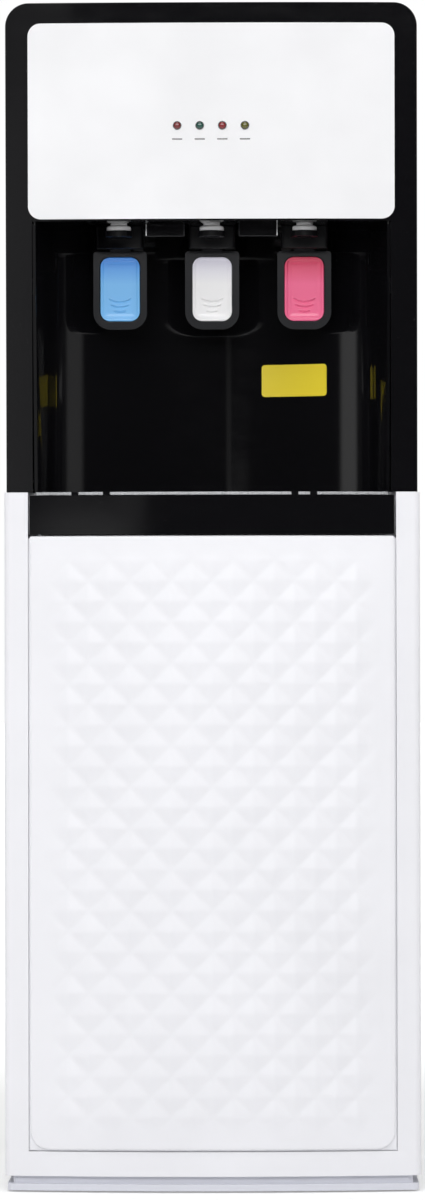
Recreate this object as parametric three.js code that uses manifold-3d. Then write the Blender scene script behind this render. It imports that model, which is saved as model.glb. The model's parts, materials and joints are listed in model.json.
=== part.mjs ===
// Bottom load water cooler: three taps, a pull-out drip tray and a lower bay for a 19 litre bottle.
// Millimetres, +Z up, front towards -Y, origin on the floor under the middle of the cooler.
import * as THREE from 'three';
import { mergeVertices } from 'three/addons/utils/BufferGeometryUtils.js';
import Module from 'manifold-3d';

const wasm = await Module();
wasm.setup();

// ---------- Driving dimensions ----------

// The whole cooler
const width = 356;
const height = 1016;
const depth = 365;
const cabinetTop = 598;          // seam between white cabinet and black head
const bowRise = 14;              // the middle of the cabinet front stands this far ahead of its corners
const condenserSpace = 18.5;     // between the back sheets and the wall side of the condenser

// Clearances
const seatGap = 0.3;             // between pieces that rest on each other
const shutGap = 1.2;             // round the door and the drip tray front
const runGap = 0.5;              // round pins, plungers and sliding pieces

// Base and lower cabinet
const footDrop = 1.5;
const footRadius = 15;
const footInset = 34;
const plinthTop = 7.3;
const plinthInset = 2;
const neckInset = 7;
const railBottom = 14;
const railTop = 35;
const pillarWidth = 20.5;
const pillarRound = 6;
const frameWall = 2.5;
const sheet = 0.8;               // steel sheet
const sheetFlange = 12;
const bayFloorTop = 38.5;
const bottleRadius = 135;
const bottleRingHeight = 6;
const bottleRingWall = 4;

// Door
const doorProud = 4.5;           // the frame lies this far behind the tips of the door's pyramids
const doorWall = 3;
const doorBack = 30;             // from the middle of the door face to the back of its liner
const doorCorner = 17.5;
const doorEdgeRound = 2;
const linerSheet = 2;
const hingePinRadius = 2.5;
const hingeInset = 9;            // from the door's left edge to the pin axis
const hingeBehind = 8;           // from the pyramids' tips to the pin axis, at the left edge
const hingePinLength = 14;
const pyramidStep = 17.6;        // half the pitch of the embossed pyramids
const pyramidHeight = 2.2;

// Drip tray
const trayFrontHeight = 33.5;
const trayWall = 2;
const trayFrontWall = 2.4;
const grilleThick = 2.4;
const grilleInset = 3;           // from the alcove wall to the edge of the grille
const grilleSlot = 6;
const grilleBar = 6;

// Head
const headInset = 2;             // the head is this much narrower at each side than the cabinet
const headRound = 20;
const headLean = 16;             // the head's front stands this much further back at its bottom
const headBow = 5;
const headWall = 3;
const headFrontDepth = 52;       // the moulded front reaches this far back
const wrapWall = 1.2;
const panelHeight = 167;
const panelBorder = 19.2;        // black border beside the white panel
const panelTopBorder = 17.5;
const panelRound = 11;
const panelThick = 3.5;
const panelProud = 1;
const panelLip = 1.5;            // black edge between the panel and the alcove
const lampRadius = 2.9;
const lampPitch = 19.3;
const lampDrop = 87.5;           // below the panel's top

// Alcove
const alcoveBorder = 22.5;       // from the head's side to the alcove
const alcoveNarrowing = 13.5;    // each side wall comes in this much before it meets the curved back wall
const alcoveWaistBehind = 80;    // from the cooler's front to that line
const alcoveDeep = 134;          // from the cooler's front to the middle of the back wall
const alcoveWall = 2.5;

// Taps and paddles
const tapPitch = 80;
const nozzleRadius = 7.2;
const nozzleBore = 4.5;
const nozzleBehind = 46;         // from the cooler's front to the nozzle axis
const nozzleDrop = 12;           // below the alcove ceiling
const collarRadius = 11.5;
const tapWidth = 40;
const tapDrop = 19;
const housingHalf = 12;
const housingLength = 16;
const housingBehind = 6.5;       // from the paddle's back to the plunger's housing
const paddleWidth = 47;
const paddleHeight = 67.8;
const paddleThick = 6;
const tapClear = 2.1;            // from the outer taps' housings to the curved back wall
const paddleRound = 15;
const padWidth = 34.3;
const padHeight = 55.7;
const padRound = 7;
const padBelowTop = 5.1;
const pivotRadius = 2;
const pivotDrop = 13;            // below the alcove ceiling
const plungerRadius = 3;
const plungerDrop = 12;          // below the pivot

// Inner workings
const deckThick = 1.2;
const trayLift = 3.2;            // from the bottom of the tray's front to the shelf that the tray slides on
const compressorRadius = 74;
const compressorHeight = 150;
const compressorLift = 9;        // on its rubber feet
const compressorFill = 9;        // wall that stands for the shell with the motor and pump in it
const aboveCompressor = 35;      // to the top of the tank shelf
const shelfBehind = 26;          // from the alcove's back wall to the front of the tank shelf
const machineClear = 18;         // from the compressor to the back sheet
const hotTankRadius = 55;
const hotTankFoot = 14;
const hotTankClear = 33;         // from the hot tank to the back sheet
const tankNeck = 8;
const tankWall = 1.5;
const tankPort = 6;
const heaterThick = 4;
const heaterHeight = 42;
const coldTankRadius = 68;
const coldTankClear = 28;        // from the cold tank to the back sheet
const aboveColdTank = 46;
const coilTubeRadius = 4;
const coilPitch = 18;
const coilMargin = 24;           // from each end of the cold tank to the coil
const hoseRadius = 4.5;
const probeRadius = 29;
const probeDrop = 98;            // from the deck down to the underside of the probe's cap
const dipTubeRadius = 5;
const dipTubeClear = 61.5;       // from the bay floor to the end of the dip tube
const pumpRadius = 19;
const pumpClear = 2;             // from the pump to the clamp of the hot tank's heater
const portInset = 13.5;          // from the side panel to the axis of the pump's port

// Back
const upperBackThick = 1.2;
const louvreWidth = 96;
const louvreHeight = 5;
const louvrePitch = 12;
const louvreRows = 7;
const condenserRuns = 10;
const condenserInset = 32;       // from the cooler's side to the bends
const condenserBottom = 92;
const condenserHead = 101;       // from the seam down to the top run
const condenserTube = 2.5;       // radius
const condenserWires = 6;
const riserSpacing = 12;         // between the condenser's two upright ends
const condenserWire = 1;         // half of a wire's width
const switchWidth = 13;
const switchHeight = 19;
const switchSpacing = 24;        // from the middle of the back to each switch
const switchDrop = 111;          // below the top of the cooler
const lowLouvres = 74;           // from the seam to the lower louvres
const highLouvres = 216;         // from the top of the cooler to the upper louvres
const louvreGap = 24;            // between the two lower groups

// ---------- Places worked out from the sizes ----------

const halfWidth = width / 2;
const frontY = -depth / 2;
const backY = depth / 2;
const bowRadius = (halfWidth ** 2 + bowRise ** 2) / (2 * bowRise);
const cabinetBack = backY - condenserSpace;
const frameFront = frontY + doorProud;
const pillarInner = halfWidth - pillarWidth;
const doorHalf = pillarInner - shutGap;
const doorBottom = railTop + shutGap;
const trayFrontTop = cabinetTop - grilleThick - seatGap;
const trayFrontBottom = trayFrontTop - trayFrontHeight;
const doorTop = trayFrontBottom - shutGap;
const shelfTop = trayFrontBottom + trayLift;
const doorBackY = frontY + doorBack;
const headHalf = halfWidth - headInset;
const headBottom = cabinetTop + seatGap;
const headFrontTop = frontY + panelProud;
const headBowRadius = (headHalf ** 2 + headBow ** 2) / (2 * headBow);
const leanPerMm = headLean / (height - headBottom);
const panelHalf = headHalf - panelBorder;
const panelTop = height - panelTopBorder;
const panelBottom = panelTop - panelHeight;
const ceiling = panelBottom - panelLip;
const alcoveHalf = headHalf - alcoveBorder;
const waistHalf = alcoveHalf - alcoveNarrowing;
const waistY = frontY + alcoveWaistBehind;
const alcoveBackY = frontY + alcoveDeep;
const alcoveRise = alcoveBackY - waistY;
const alcoveRadius = (waistHalf ** 2 + alcoveRise ** 2) / (2 * alcoveRise);
const deckTop = cabinetTop;
const tankShelfTop = deckTop + compressorLift + compressorHeight + aboveCompressor;
const coldTankHeight = height - aboveColdTank - tankShelfTop;
const coilTurns = Math.floor((coldTankHeight - 2 * coilMargin) / coilPitch);
const housingBack = alcoveBack(tapPitch + housingHalf) - tapClear;
const housingFront = housingBack - housingLength;
const pivotY = housingFront - housingBehind - paddleThick / 2;
const pivotZ = ceiling - pivotDrop;
const tapNames = ['cold', 'room', 'hot'];

// How far back the cabinet's bowed front lies at x, from its middle.
function bow(x) {
  return bowRadius - Math.sqrt(bowRadius ** 2 - x ** 2);
}

// The alcove's curved back wall at x.
function alcoveBack(x) {
  return alcoveBackY - alcoveRadius + Math.sqrt(alcoveRadius ** 2 - x ** 2);
}

// The head's front at x and z.
function headFront(x, z) {
  const bowed = headBowRadius - Math.sqrt(headBowRadius ** 2 - x ** 2);
  return headFrontTop + bowed + leanPerMm * (height - z);
}

// ---------- Finishes ----------

function finish(color, roughness, metalness = 0) {
  return new THREE.MeshStandardMaterial({ color, roughness, metalness });
}

const finishes = {
  glossWhite: () => finish('#f4f4f6', 0.18),
  whitePlastic: () => finish('#ececf1', 0.38),
  whiteSteel: () => finish('#ececf0', 0.42, 0.1),
  glossBlack: () => finish('#0c0c0e', 0.12),
  darkPlastic: () => finish('#303032', 0.35),
  blackSteel: () => finish('#141416', 0.45, 0.3),
  steel: () => finish('#b9bcc0', 0.32, 0.9),
  copper: () => finish('#b4693e', 0.35, 0.9),
  rubber: () => finish('#1b1b1c', 0.85),
  softClear: () => finish('#dcdde0', 0.3),
  blue: () => finish('#5a9fe0', 0.3),
  white: () => finish('#e6e4ee', 0.3),
  red: () => finish('#dc5078', 0.3),
};

// ---------- Building functions ----------

// A closed shape through corners [x, y, radius]; corners with a radius become arcs.
function outline(corners, arcSteps = 4) {
  const points = [];
  corners.forEach(([x, y, radius = 0], i) => {
    const corner = new THREE.Vector2(x, y);
    if (radius === 0) {
      points.push(corner);
      return;
    }
    const [beforeX, beforeY] = corners.at(i - 1);
    const [afterX, afterY] = corners[(i + 1) % corners.length];
    const toBefore = new THREE.Vector2(beforeX - x, beforeY - y).normalize();
    const toAfter = new THREE.Vector2(afterX - x, afterY - y).normalize();
    const half = Math.acos(toBefore.dot(toAfter)) / 2;
    const middle = toBefore.clone().add(toAfter).normalize();
    const centre = middle.multiplyScalar(radius / Math.sin(half)).add(corner);
    const start = toBefore.multiplyScalar(radius / Math.tan(half)).add(corner).sub(centre);
    const end = toAfter.multiplyScalar(radius / Math.tan(half)).add(corner).sub(centre);
    const turn = Math.atan2(start.cross(end), start.dot(end));
    for (let k = 0; k <= arcSteps; k += 1) {
      points.push(start.clone().rotateAround(new THREE.Vector2(), turn * k / arcSteps).add(centre));
    }
  });
  return new THREE.Shape(points);
}

function box2d(left, bottom, right, top, radius = 0, arcSteps = 4) {
  const corners = [[left, bottom, radius], [right, bottom, radius], [right, top, radius], [left, top, radius]];
  return outline(corners, arcSteps);
}

function circle(x, y, radius, steps = 16) {
  const points = [];
  for (let i = 0; i < steps; i += 1) {
    const angle = 2 * Math.PI * (i + 0.5) / steps;
    points.push(new THREE.Vector2(x + radius * Math.cos(angle), y + radius * Math.sin(angle)));
  }
  return new THREE.Shape(points);
}

function extruded(shape, length) {
  return new THREE.ExtrudeGeometry(shape, { depth: length, bevelEnabled: false });
}

// A plan shape (x, y) raised from bottom to top.
function upright(shape, bottom, top) {
  return solid(extruded(shape, top - bottom).translate(0, 0, bottom));
}

// A front-view shape (x, z) running back from front to back.
function lengthwise(shape, front, back) {
  return solid(extruded(shape, back - front).rotateX(Math.PI / 2).translate(0, back, 0));
}

// A side-view shape (y, z) running across from left to right.
function crosswise(shape, left, right) {
  const turn = new THREE.Matrix4().makeBasis(
    new THREE.Vector3(0, 1, 0), new THREE.Vector3(0, 0, 1), new THREE.Vector3(1, 0, 0));
  return solid(extruded(shape, right - left).applyMatrix4(turn).translate(left, 0, 0));
}

function block(low, high) {
  return upright(box2d(low[0], low[1], high[0], high[1]), low[2], high[2]);
}

// A turned piece about a vertical axis; the profile holds [radius, z] from axis to axis.
function turned(profile, steps = 24) {
  const points = profile.map(([radius, z]) => new THREE.Vector2(radius, z));
  return solid(new THREE.LatheGeometry(points, steps).rotateX(Math.PI / 2));
}

function rod(from, to, radius, steps = 12) {
  const axis = new THREE.Vector3().subVectors(to, from);
  const geometry = new THREE.CylinderGeometry(radius, radius, axis.length(), steps);
  const turn = new THREE.Quaternion().setFromUnitVectors(new THREE.Vector3(0, 1, 0), axis.normalize());
  const middle = new THREE.Vector3().addVectors(from, to).multiplyScalar(0.5);
  return solid(geometry.applyQuaternion(turn).translate(middle.x, middle.y, middle.z));
}

// A tube along a smooth curve, with round section.
function pipe(curve, radius, sides, steps) {
  const section = circle(0, 0, radius, sides);
  return solid(new THREE.ExtrudeGeometry(section, { steps, bevelEnabled: false, extrudePath: curve }));
}

// A closed mesh as a solid, with its faces pointing out.
function solid(geometry) {
  const bare = geometry.clone();
  bare.deleteAttribute('normal');
  bare.deleteAttribute('uv');
  const merged = mergeVertices(bare, 1e-5);
  const vertProperties = Float32Array.from(merged.attributes.position.array);
  const triVerts = Uint32Array.from(merged.index.array);
  if (signedVolume(vertProperties, triVerts) < 0) {
    for (let i = 0; i < triVerts.length; i += 3) {
      [triVerts[i], triVerts[i + 1]] = [triVerts[i + 1], triVerts[i]];
    }
  }
  return new wasm.Manifold(new wasm.Mesh({ numProp: 3, vertProperties, triVerts }));
}

function signedVolume(vertices, triangles) {
  const corner = [0, 1, 2].map(() => new THREE.Vector3());
  let total = 0;
  for (let i = 0; i < triangles.length; i += 3) {
    corner.forEach((point, k) => point.fromArray(vertices, 3 * triangles[i + k]));
    total += corner[0].dot(corner[1].cross(corner[2])) / 6;
  }
  return total;
}

function join(first, ...others) {
  return others.reduce((whole, piece) => whole.add(piece), first);
}

function cut(first, ...others) {
  return others.reduce((whole, piece) => whole.subtract(piece), first);
}

const cooler = new THREE.Group();

function add(name, body, material) {
  const mesh = body.getMesh();
  const geometry = new THREE.BufferGeometry();
  geometry.setAttribute('position', new THREE.BufferAttribute(mesh.vertProperties, mesh.numProp));
  geometry.setIndex(new THREE.BufferAttribute(mesh.triVerts, 1));
  const piece = new THREE.Mesh(geometry, material);
  piece.name = name;
  cooler.add(piece);
  return piece;
}

// Points along the cabinet's bow from one x to another, moved back by inset.
function bowPoints(from, to, front, steps = 10) {
  const points = [];
  for (let i = 0; i <= steps; i += 1) {
    const x = from + (to - from) * i / steps;
    points.push([x, front + bow(x)]);
  }
  return points;
}

// A plan shape with a bowed front: its sides at plus and minus half, its back straight.
function bowedPlan(half, front, back, round = 0, steps = 10) {
  const face = bowPoints(-half, half, front, steps);
  face[0].push(round);
  face.at(-1).push(round);
  return outline([...face, [half, back], [-half, back]]);
}

// ---------- Base and cabinet ----------

const backSheetFront = cabinetBack - 2 * sheet - seatGap;
const stopFront = doorBackY + 4;         // the door closes ahead of this flange of the frame
const frameBack = stopFront + frameWall;
const innerHalf = halfWidth - sheet - seatGap;
const hingeX = -(doorHalf - hingeInset);
const hingeY = frontY + bow(doorHalf) + hingeBehind;
const bracketThick = 2;
const bracketReach = 22;                 // along the door, from the pillar
const bracketFront = hingeY - hingePinRadius - seatGap;
const bayMiddle = (frameBack + backSheetFront) / 2;
const backSheetOuter = cabinetBack - 1;
const upperBackFront = backSheetOuter - upperBackThick;
const compressorPlace = [-78, backSheetFront - machineClear - compressorRadius];
const hotTankPlace = [98, backSheetFront - hotTankClear - hotTankRadius];
const coldTankPlace = [-62, backSheetFront - coldTankClear - coldTankRadius];
const probeBottom = deckTop - probeDrop;
const dipTubeLength = probeBottom - bayFloorTop - dipTubeClear;

function makeBase() {
  const wall = 3;
  const recess = 3.5;                    // the feet stand in the base this deep
  const bandFront = frontY + 5;
  const neckFront = bandFront + neckInset - plinthInset;
  const band = bowedPlan(halfWidth - plinthInset, bandFront, cabinetBack - plinthInset, pillarRound);
  const neck = bowedPlan(halfWidth - neckInset, neckFront, cabinetBack - neckInset, pillarRound);
  const hollow = bowedPlan(halfWidth - neckInset - wall, neckFront + wall, cabinetBack - neckInset - wall);
  const neckTop = railBottom - seatGap;
  let cavity = upright(hollow, 0, neckTop - wall);
  let base = join(upright(band, footDrop, plinthTop), upright(neck, plinthTop - 1, neckTop));
  const feet = [];
  const frontFeet = frontY + bowRise + footInset;
  for (const [side, x] of [['left', -1], ['right', 1]]) {
    for (const [end, y] of [['front', frontFeet], ['rear', cabinetBack - footInset]]) {
      const place = circle(x * (halfWidth - footInset), y, footRadius + wall, 10);
      const pocket = circle(x * (halfWidth - footInset), y, footRadius + runGap, 12);
      const foot = circle(x * (halfWidth - footInset), y, footRadius, 12);
      cavity = cut(cavity, upright(place, 0, neckTop));
      base = cut(base, upright(pocket, 0, footDrop + recess + seatGap));
      feet.push([`foot_${end}_${side}`, upright(foot, 0, footDrop + recess)]);
    }
  }
  add('base_plinth', cut(base, cavity), finishes.whitePlastic());
  feet.forEach(([name, foot]) => add(name, foot, finishes.rubber()));
}

// The moulded surround of the door: two pillars and the bottom rail, open at the back.
function makeFrame() {
  const flange = 10;
  const outer = upright(bowedPlan(halfWidth, frameFront, frameBack, pillarRound), railBottom, cabinetTop);
  const doorway = block([-pillarInner, frontY, railTop], [pillarInner, backY, height]);
  const inside = upright(bowedPlan(halfWidth - frameWall, frameFront + frameWall, backY),
    railBottom + frameWall, cabinetTop - frameWall);
  const lining = block([-pillarInner - frameWall, frontY, railTop - frameWall],
    [pillarInner + frameWall, backY, height]);
  const stopHalf = pillarInner + frameWall;
  const stop = lengthwise(box2d(-stopHalf, railTop - frameWall, stopHalf, cabinetTop), stopFront, frameBack);
  const gapHalf = pillarInner - flange;
  const gap = block([-gapHalf, frontY, railTop + flange / 2], [gapHalf, backY, height]);
  const pocket = block([-pillarInner - seatGap, bracketFront - seatGap, railTop - bracketThick - 2 * seatGap],
    [-pillarInner + bracketReach + seatGap, stopFront, railTop + 1]);
  let frame = join(cut(outer, doorway, cut(inside, lining)), cut(stop, gap));
  frame = cut(frame, pocket);
  add('front_frame', frame, finishes.whitePlastic());
}

function makeSidePanels() {
  for (const [name, side] of [['side_panel_left', -1], ['side_panel_right', 1]]) {
    const outer = side * halfWidth;
    const inner = side * (halfWidth - sheet);
    const flange = side * (halfWidth - sheetFlange);
    const start = frameBack + seatGap;
    const profile = [[outer, start], [outer, cabinetBack, sheet], [flange, cabinetBack],
      [flange, cabinetBack - sheet], [inner, cabinetBack - sheet], [inner, start]];
    add(name, upright(outline(profile, 2), railBottom, cabinetTop), finishes.whiteSteel());
  }
}

function makeLowerBack() {
  const beadHalf = 9;
  const beadRaise = 2;
  const beadSpread = 62;
  const back = backSheetFront + sheet;
  let panel = block([-innerHalf, backSheetFront, railBottom], [innerHalf, back, cabinetTop]);
  const low = railBottom + condenserBottom;
  const high = cabinetTop - condenserBottom;
  for (const x of [-2 * beadSpread, 0, 2 * beadSpread]) {
    const bead = box2d(x - beadHalf, low, x + beadHalf, high, beadHalf - 1, 2);
    const half = beadHalf - sheet;
    const inner = box2d(x - half, low + sheet, x + half, high - sheet, beadHalf - 3, 2);
    panel = join(panel, lengthwise(bead, back - sheet / 2, back + beadRaise));
    panel = cut(panel, lengthwise(inner, frontY, back + beadRaise - sheet));
  }
  add('lower_back_panel', panel, finishes.blackSteel());
}

// The floor of the bottle bay: a ribbed moulding with a ring that keeps the bottle in place.
function makeBayFloor() {
  const plate = 2.5;
  const ribs = 4;
  const start = frameBack + seatGap;
  const end = backSheetFront - seatGap;
  const underside = bayFloorTop - plate;
  const bottom = railBottom;
  const ring = bottleRadius + bottleRingWall;
  let floor = block([-innerHalf, start, bottom], [innerHalf, end, bayFloorTop]);
  const pitch = (end - start - plate) / ribs;
  for (let i = 0; i < ribs; i += 1) {
    const y = start + plate + i * pitch;
    const cellHalf = innerHalf - plate;
    floor = cut(floor, block([-cellHalf, y, bottom - 1], [cellHalf, y + pitch - plate, underside]));
  }
  const outside = circle(0, bayMiddle, ring + bottleRingWall, 40);
  const rim = upright(outside, bayFloorTop - 1, bayFloorTop + bottleRingHeight);
  floor = join(floor, cut(rim, upright(circle(0, bayMiddle, ring, 40), bayFloorTop, height)));
  add('bay_floor', floor, finishes.whitePlastic());
}

const riserY = alcoveBackY + 6;
const hoseX = innerHalf - probeRadius - 2;
const hoseY = backSheetFront - probeRadius - 4;

// The steel deck: a low shelf under the drip tray, a step, and the floor of the machine space.
function makeDeck() {
  const start = frameBack + seatGap;
  const end = backSheetFront - seatGap;
  const skirt = 18;
  const profile = [[start, shelfTop - skirt], [start + deckThick, shelfTop - skirt],
    [start + deckThick, shelfTop - deckThick], [riserY, shelfTop - deckThick], [riserY, deckTop - deckThick],
    [end, deckTop - deckThick], [end, deckTop], [riserY - deckThick, deckTop],
    [riserY - deckThick, shelfTop], [start, shelfTop]];
  const hole = upright(circle(hoseX, hoseY, hoseRadius + 3), shelfTop, height);
  add('mid_deck', cut(crosswise(outline(profile), -innerHalf, innerHalf), hole), finishes.whiteSteel());
}

// ---------- Door ----------

function hingeBracket(low, high, pinLow, pinHigh) {
  const reach = -pillarInner + bracketReach;
  const leaf = box2d(-pillarInner + seatGap, bracketFront, reach, stopFront - seatGap, 2, 2);
  const plate = upright(leaf, low, high);
  return join(plate, upright(circle(hingeX, hingeY, hingePinRadius, 12), pinLow, pinHigh));
}

function makeHinges() {
  const lowTop = railTop - seatGap;
  add('hinge_bottom', hingeBracket(lowTop - bracketThick, lowTop, lowTop - 1, doorBottom + hingePinLength),
    finishes.steel());
  add('hinge_top', hingeBracket(shelfTop - bracketThick, shelfTop, doorTop - hingePinLength, shelfTop - 1),
    finishes.steel());
}

// The relief fades out towards the edges of the door.
function relief(x, z) {
  const fade = (distance) => THREE.MathUtils.smoothstep(distance, -0.4 * pyramidStep, 1.1 * pyramidStep);
  const margin = 1.4 * pyramidStep;
  const sides = fade(doorHalf - margin - Math.abs(x));
  return pyramidHeight * sides * fade(doorTop - margin - z) * fade(z - doorBottom - margin);
}

// The door's face: a grid in which every second point is the tip of a four-sided pyramid.
function embossedBlock(back) {
  const edge = 5;
  const columns = Math.floor((doorHalf - edge) / pyramidStep);
  const rows = Math.floor((doorTop - doorBottom - 2 * edge) / pyramidStep);
  const firstRow = (doorTop + doorBottom - rows * pyramidStep) / 2;
  const xs = [-doorHalf, -doorHalf + doorEdgeRound];
  for (let i = -columns; i <= columns; i += 1) {
    xs.push(i * pyramidStep);
  }
  xs.push(doorHalf - doorEdgeRound, doorHalf);
  const zs = [doorBottom, doorBottom + doorEdgeRound];
  for (let j = 0; j <= rows; j += 1) {
    zs.push(firstRow + j * pyramidStep);
  }
  zs.push(doorTop - doorEdgeRound, doorTop);
  const vertices = [];
  const isTip = (i, j) => (i + j) % 2 === 0 && i > 1 && i < xs.length - 2 && j > 1 && j < zs.length - 2;
  zs.forEach((z, j) => xs.forEach((x, i) => {
    const onEdge = i === 0 || j === 0 || i === xs.length - 1 || j === zs.length - 1;
    const raised = isTip(i, j) ? relief(x, z) : 0;
    vertices.push(x, frontY + bow(x) - raised + (onEdge ? doorEdgeRound : 0) + pyramidHeight, z);
  }));
  const at = (i, j) => j * xs.length + i;
  const faces = [];
  for (let j = 0; j < zs.length - 1; j += 1) {
    for (let i = 0; i < xs.length - 1; i += 1) {
      const corners = [at(i, j), at(i + 1, j), at(i + 1, j + 1), at(i, j + 1)];
      const turn = (i + j) % 2 === 0 ? 1 : 0;        // the fold runs from valley to valley
      const [a, b, c, d] = [0, 1, 2, 3].map((k) => corners[(k + turn) % 4]);
      faces.push(a, b, c, a, c, d);
    }
  }
  const rim = [];
  xs.forEach((x, i) => rim.push(at(i, 0)));
  zs.slice(1).forEach((z, j) => rim.push(at(xs.length - 1, j + 1)));
  xs.slice(1).forEach((x, i) => rim.push(at(xs.length - 2 - i, zs.length - 1)));
  zs.slice(1, -1).forEach((z, j) => rim.push(at(0, zs.length - 2 - j)));
  const behind = vertices.length / 3;
  rim.forEach((index) => vertices.push(vertices[3 * index], back, vertices[3 * index + 2]));
  vertices.push(0, back, (doorTop + doorBottom) / 2);
  const centre = behind + rim.length;
  rim.forEach((index, k) => {
    const next = (k + 1) % rim.length;
    faces.push(index, behind + k, rim[next], rim[next], behind + k, behind + next);
    faces.push(behind + k, centre, behind + next);
  });
  const geometry = new THREE.BufferGeometry();
  geometry.setAttribute('position', new THREE.Float32BufferAttribute(vertices, 3));
  geometry.setIndex(faces);
  return solid(geometry);
}

function makeDoor() {
  const skinBack = doorBackY - linerSheet - seatGap;
  const corners = [[-doorHalf, doorBottom, doorCorner], [doorHalf, doorBottom, doorCorner],
    [doorHalf, doorTop, doorEdgeRound], [-doorHalf, doorTop, doorEdgeRound]];
  // The rounded lower corners stand out from webs that lie level with the frame's front.
  const webs = lengthwise(box2d(-doorHalf, doorBottom, doorHalf, doorTop, doorEdgeRound, 2), frontY, backY);
  const behindFrame = upright(bowedPlan(halfWidth, frameFront, backY), 0, height);
  const shape = join(lengthwise(outline(corners, 6), frontY - 1, backY), webs.intersect(behindFrame));
  const pins = upright(circle(hingeX, hingeY, hingePinRadius + runGap, 12), doorBottom - 1, doorTop + 1);
  const face = bowedPlan(doorHalf - doorWall, frontY + pyramidHeight + doorWall, backY);
  const inside = upright(face, doorBottom + doorWall, doorTop - doorWall);
  const cavity = inside.intersect(lengthwise(outline(corners.map(([x, z, r]) => [
    x - Math.sign(x) * doorWall, z + (r === doorCorner ? doorWall : -doorWall), r]), 6), frontY, backY));
  const pinHouse = upright(circle(hingeX, hingeY, hingeBehind, 14), doorBottom + 1, doorTop - 1);
  const skin = cut(shape.intersect(embossedBlock(skinBack)), cavity.subtract(pinHouse), pins);
  add('door_skin', skin, finishes.whitePlastic());
}

const catchX = doorHalf - 40;
const catchZ = shelfTop - 10;
const catchHalf = 15;

function makeLiner() {
  const edge = 1;
  const press = 0.8;                     // depth of the two pressed fields
  const margin = 27;
  const shape = box2d(-doorHalf + edge, doorBottom + edge, doorHalf - edge, doorTop - edge, doorEdgeRound, 2);
  let liner = lengthwise(shape, doorBackY - linerSheet, doorBackY);
  const middle = (doorTop + doorBottom) / 2;
  for (const [low, high] of [[doorBottom + margin, middle - 8], [middle + 8, doorTop - margin]]) {
    const field = box2d(-doorHalf + margin, low, doorHalf - margin, high, 14, 3);
    liner = cut(liner, lengthwise(field, doorBackY - press, backY));
  }
  const strike = [catchX - catchHalf, catchZ - 4, catchX + catchHalf, catchZ + 4];
  const seat = box2d(strike[0] - seatGap, strike[1] - seatGap, strike[2] + seatGap, strike[3] + seatGap);
  const strikeThick = 1;
  liner = cut(liner, lengthwise(seat, doorBackY - strikeThick - seatGap, backY));
  add('door_liner', liner, finishes.whitePlastic());
  const plate = lengthwise(box2d(...strike, 1, 2), doorBackY - strikeThick, doorBackY);
  add('strike_plate', plate, finishes.steel());
  const magnet = box2d(catchX - catchHalf, catchZ - 5, catchX + catchHalf, catchZ + 5, 1, 2);
  add('door_magnet', lengthwise(magnet, doorBackY + seatGap, frameBack), finishes.rubber());
}

// ---------- Alcove and drip tray ----------

// The alcove in plan, drawn in by inset: side walls narrowing to a curved back.
function alcovePlan(inset, front, steps = 12) {
  const radius = alcoveRadius - inset;
  const reach = Math.asin((waistHalf - inset) / radius);
  const half = alcoveHalf - inset;
  const points = Array.isArray(front) ? [...front] : [[-half, front], [half, front]];
  for (let i = 0; i <= steps; i += 1) {
    const angle = reach - 2 * reach * i / steps;
    points.push([radius * Math.sin(angle), alcoveBackY - alcoveRadius + radius * Math.cos(angle)]);
  }
  return outline(points);
}

const trayFace = frontY + pyramidHeight;

function makeTray() {
  const basinHalf = pillarInner - 12;
  const basinBack = riserY - deckThick - 1.5;
  const low = shelfTop + seatGap;
  const lugs = [-117, -90, 71, 87];
  const lugHalf = 3;
  const lugThick = 1.4;
  const stripPlan = bowedPlan(doorHalf, trayFace, trayFace + bowRise + 2, 1.5);
  const strip = upright(stripPlan, trayFrontBottom, trayFrontTop);
  const behind = upright(bowedPlan(halfWidth, trayFace + trayFrontWall, backY), 0, height);
  const basin = upright(bowedPlan(basinHalf, trayFace + 1, basinBack), low, trayFrontTop);
  const inside = bowedPlan(basinHalf - trayWall, trayFace + trayFrontWall, basinBack - trayWall);
  const hollow = upright(inside, low + trayWall, height);
  let tray = join(cut(strip, behind), basin);
  for (const x of lugs) {
    const face = trayFace + bow(x);
    const lug = [[x - lugHalf, face + 0.2, trayFrontTop - 1], [x + lugHalf, face + lugThick, cabinetTop]];
    tray = join(tray, block(...lug));
  }
  add('drip_tray', cut(tray, hollow), finishes.glossBlack());
}

function makeGrille() {
  const front = trayFace + 1.4 + seatGap;
  const half = alcoveHalf - grilleInset;
  const rim = 9;
  const low = trayFrontTop + seatGap;
  const plate = upright(alcovePlan(grilleInset, bowPoints(-half, half, front)), low, cabinetTop);
  const field = upright(alcovePlan(grilleInset + rim, frontY + bowRise + rim + 6), low - 1, cabinetTop + 1);
  const pitch = grilleSlot + grilleBar;
  const count = Math.floor((half - rim) / pitch);
  const slots = [];
  for (let i = -count; i <= count; i += 1) {
    const left = i * pitch - grilleSlot / 2;
    slots.push(block([left, frontY, low - 1], [left + grilleSlot, backY, height]));
  }
  add('drip_grille', cut(plate, join(...slots).intersect(field)), finishes.steel());
}

// ---------- Head ----------

// Everything behind the head's leaning, slightly bowed front, moved back by inset.
function headBlock(inset) {
  const half = headHalf + 4;
  const tall = height - headBottom;
  const face = [];
  const steps = 8;
  for (let i = 0; i <= steps; i += 1) {
    const x = -half + 2 * half * i / steps;
    face.push([x, headFront(x, height) + inset]);
  }
  const plan = outline([...face, [half, backY + depth], [-half, backY + depth]]);
  const lean = new THREE.Matrix4().makeShear(0, 0, 0, 0, 0, -leanPerMm);
  return solid(extruded(plan, tall + 2).translate(0, 0, -tall - 1).applyMatrix4(lean).translate(0, 0, height));
}

function headOutline(inset, bottom) {
  const half = headHalf - inset;
  const round = headRound - inset;
  const top = height - inset;
  return outline([[-half, bottom], [half, bottom], [half, top, round], [-half, top, round]], 6);
}

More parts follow.
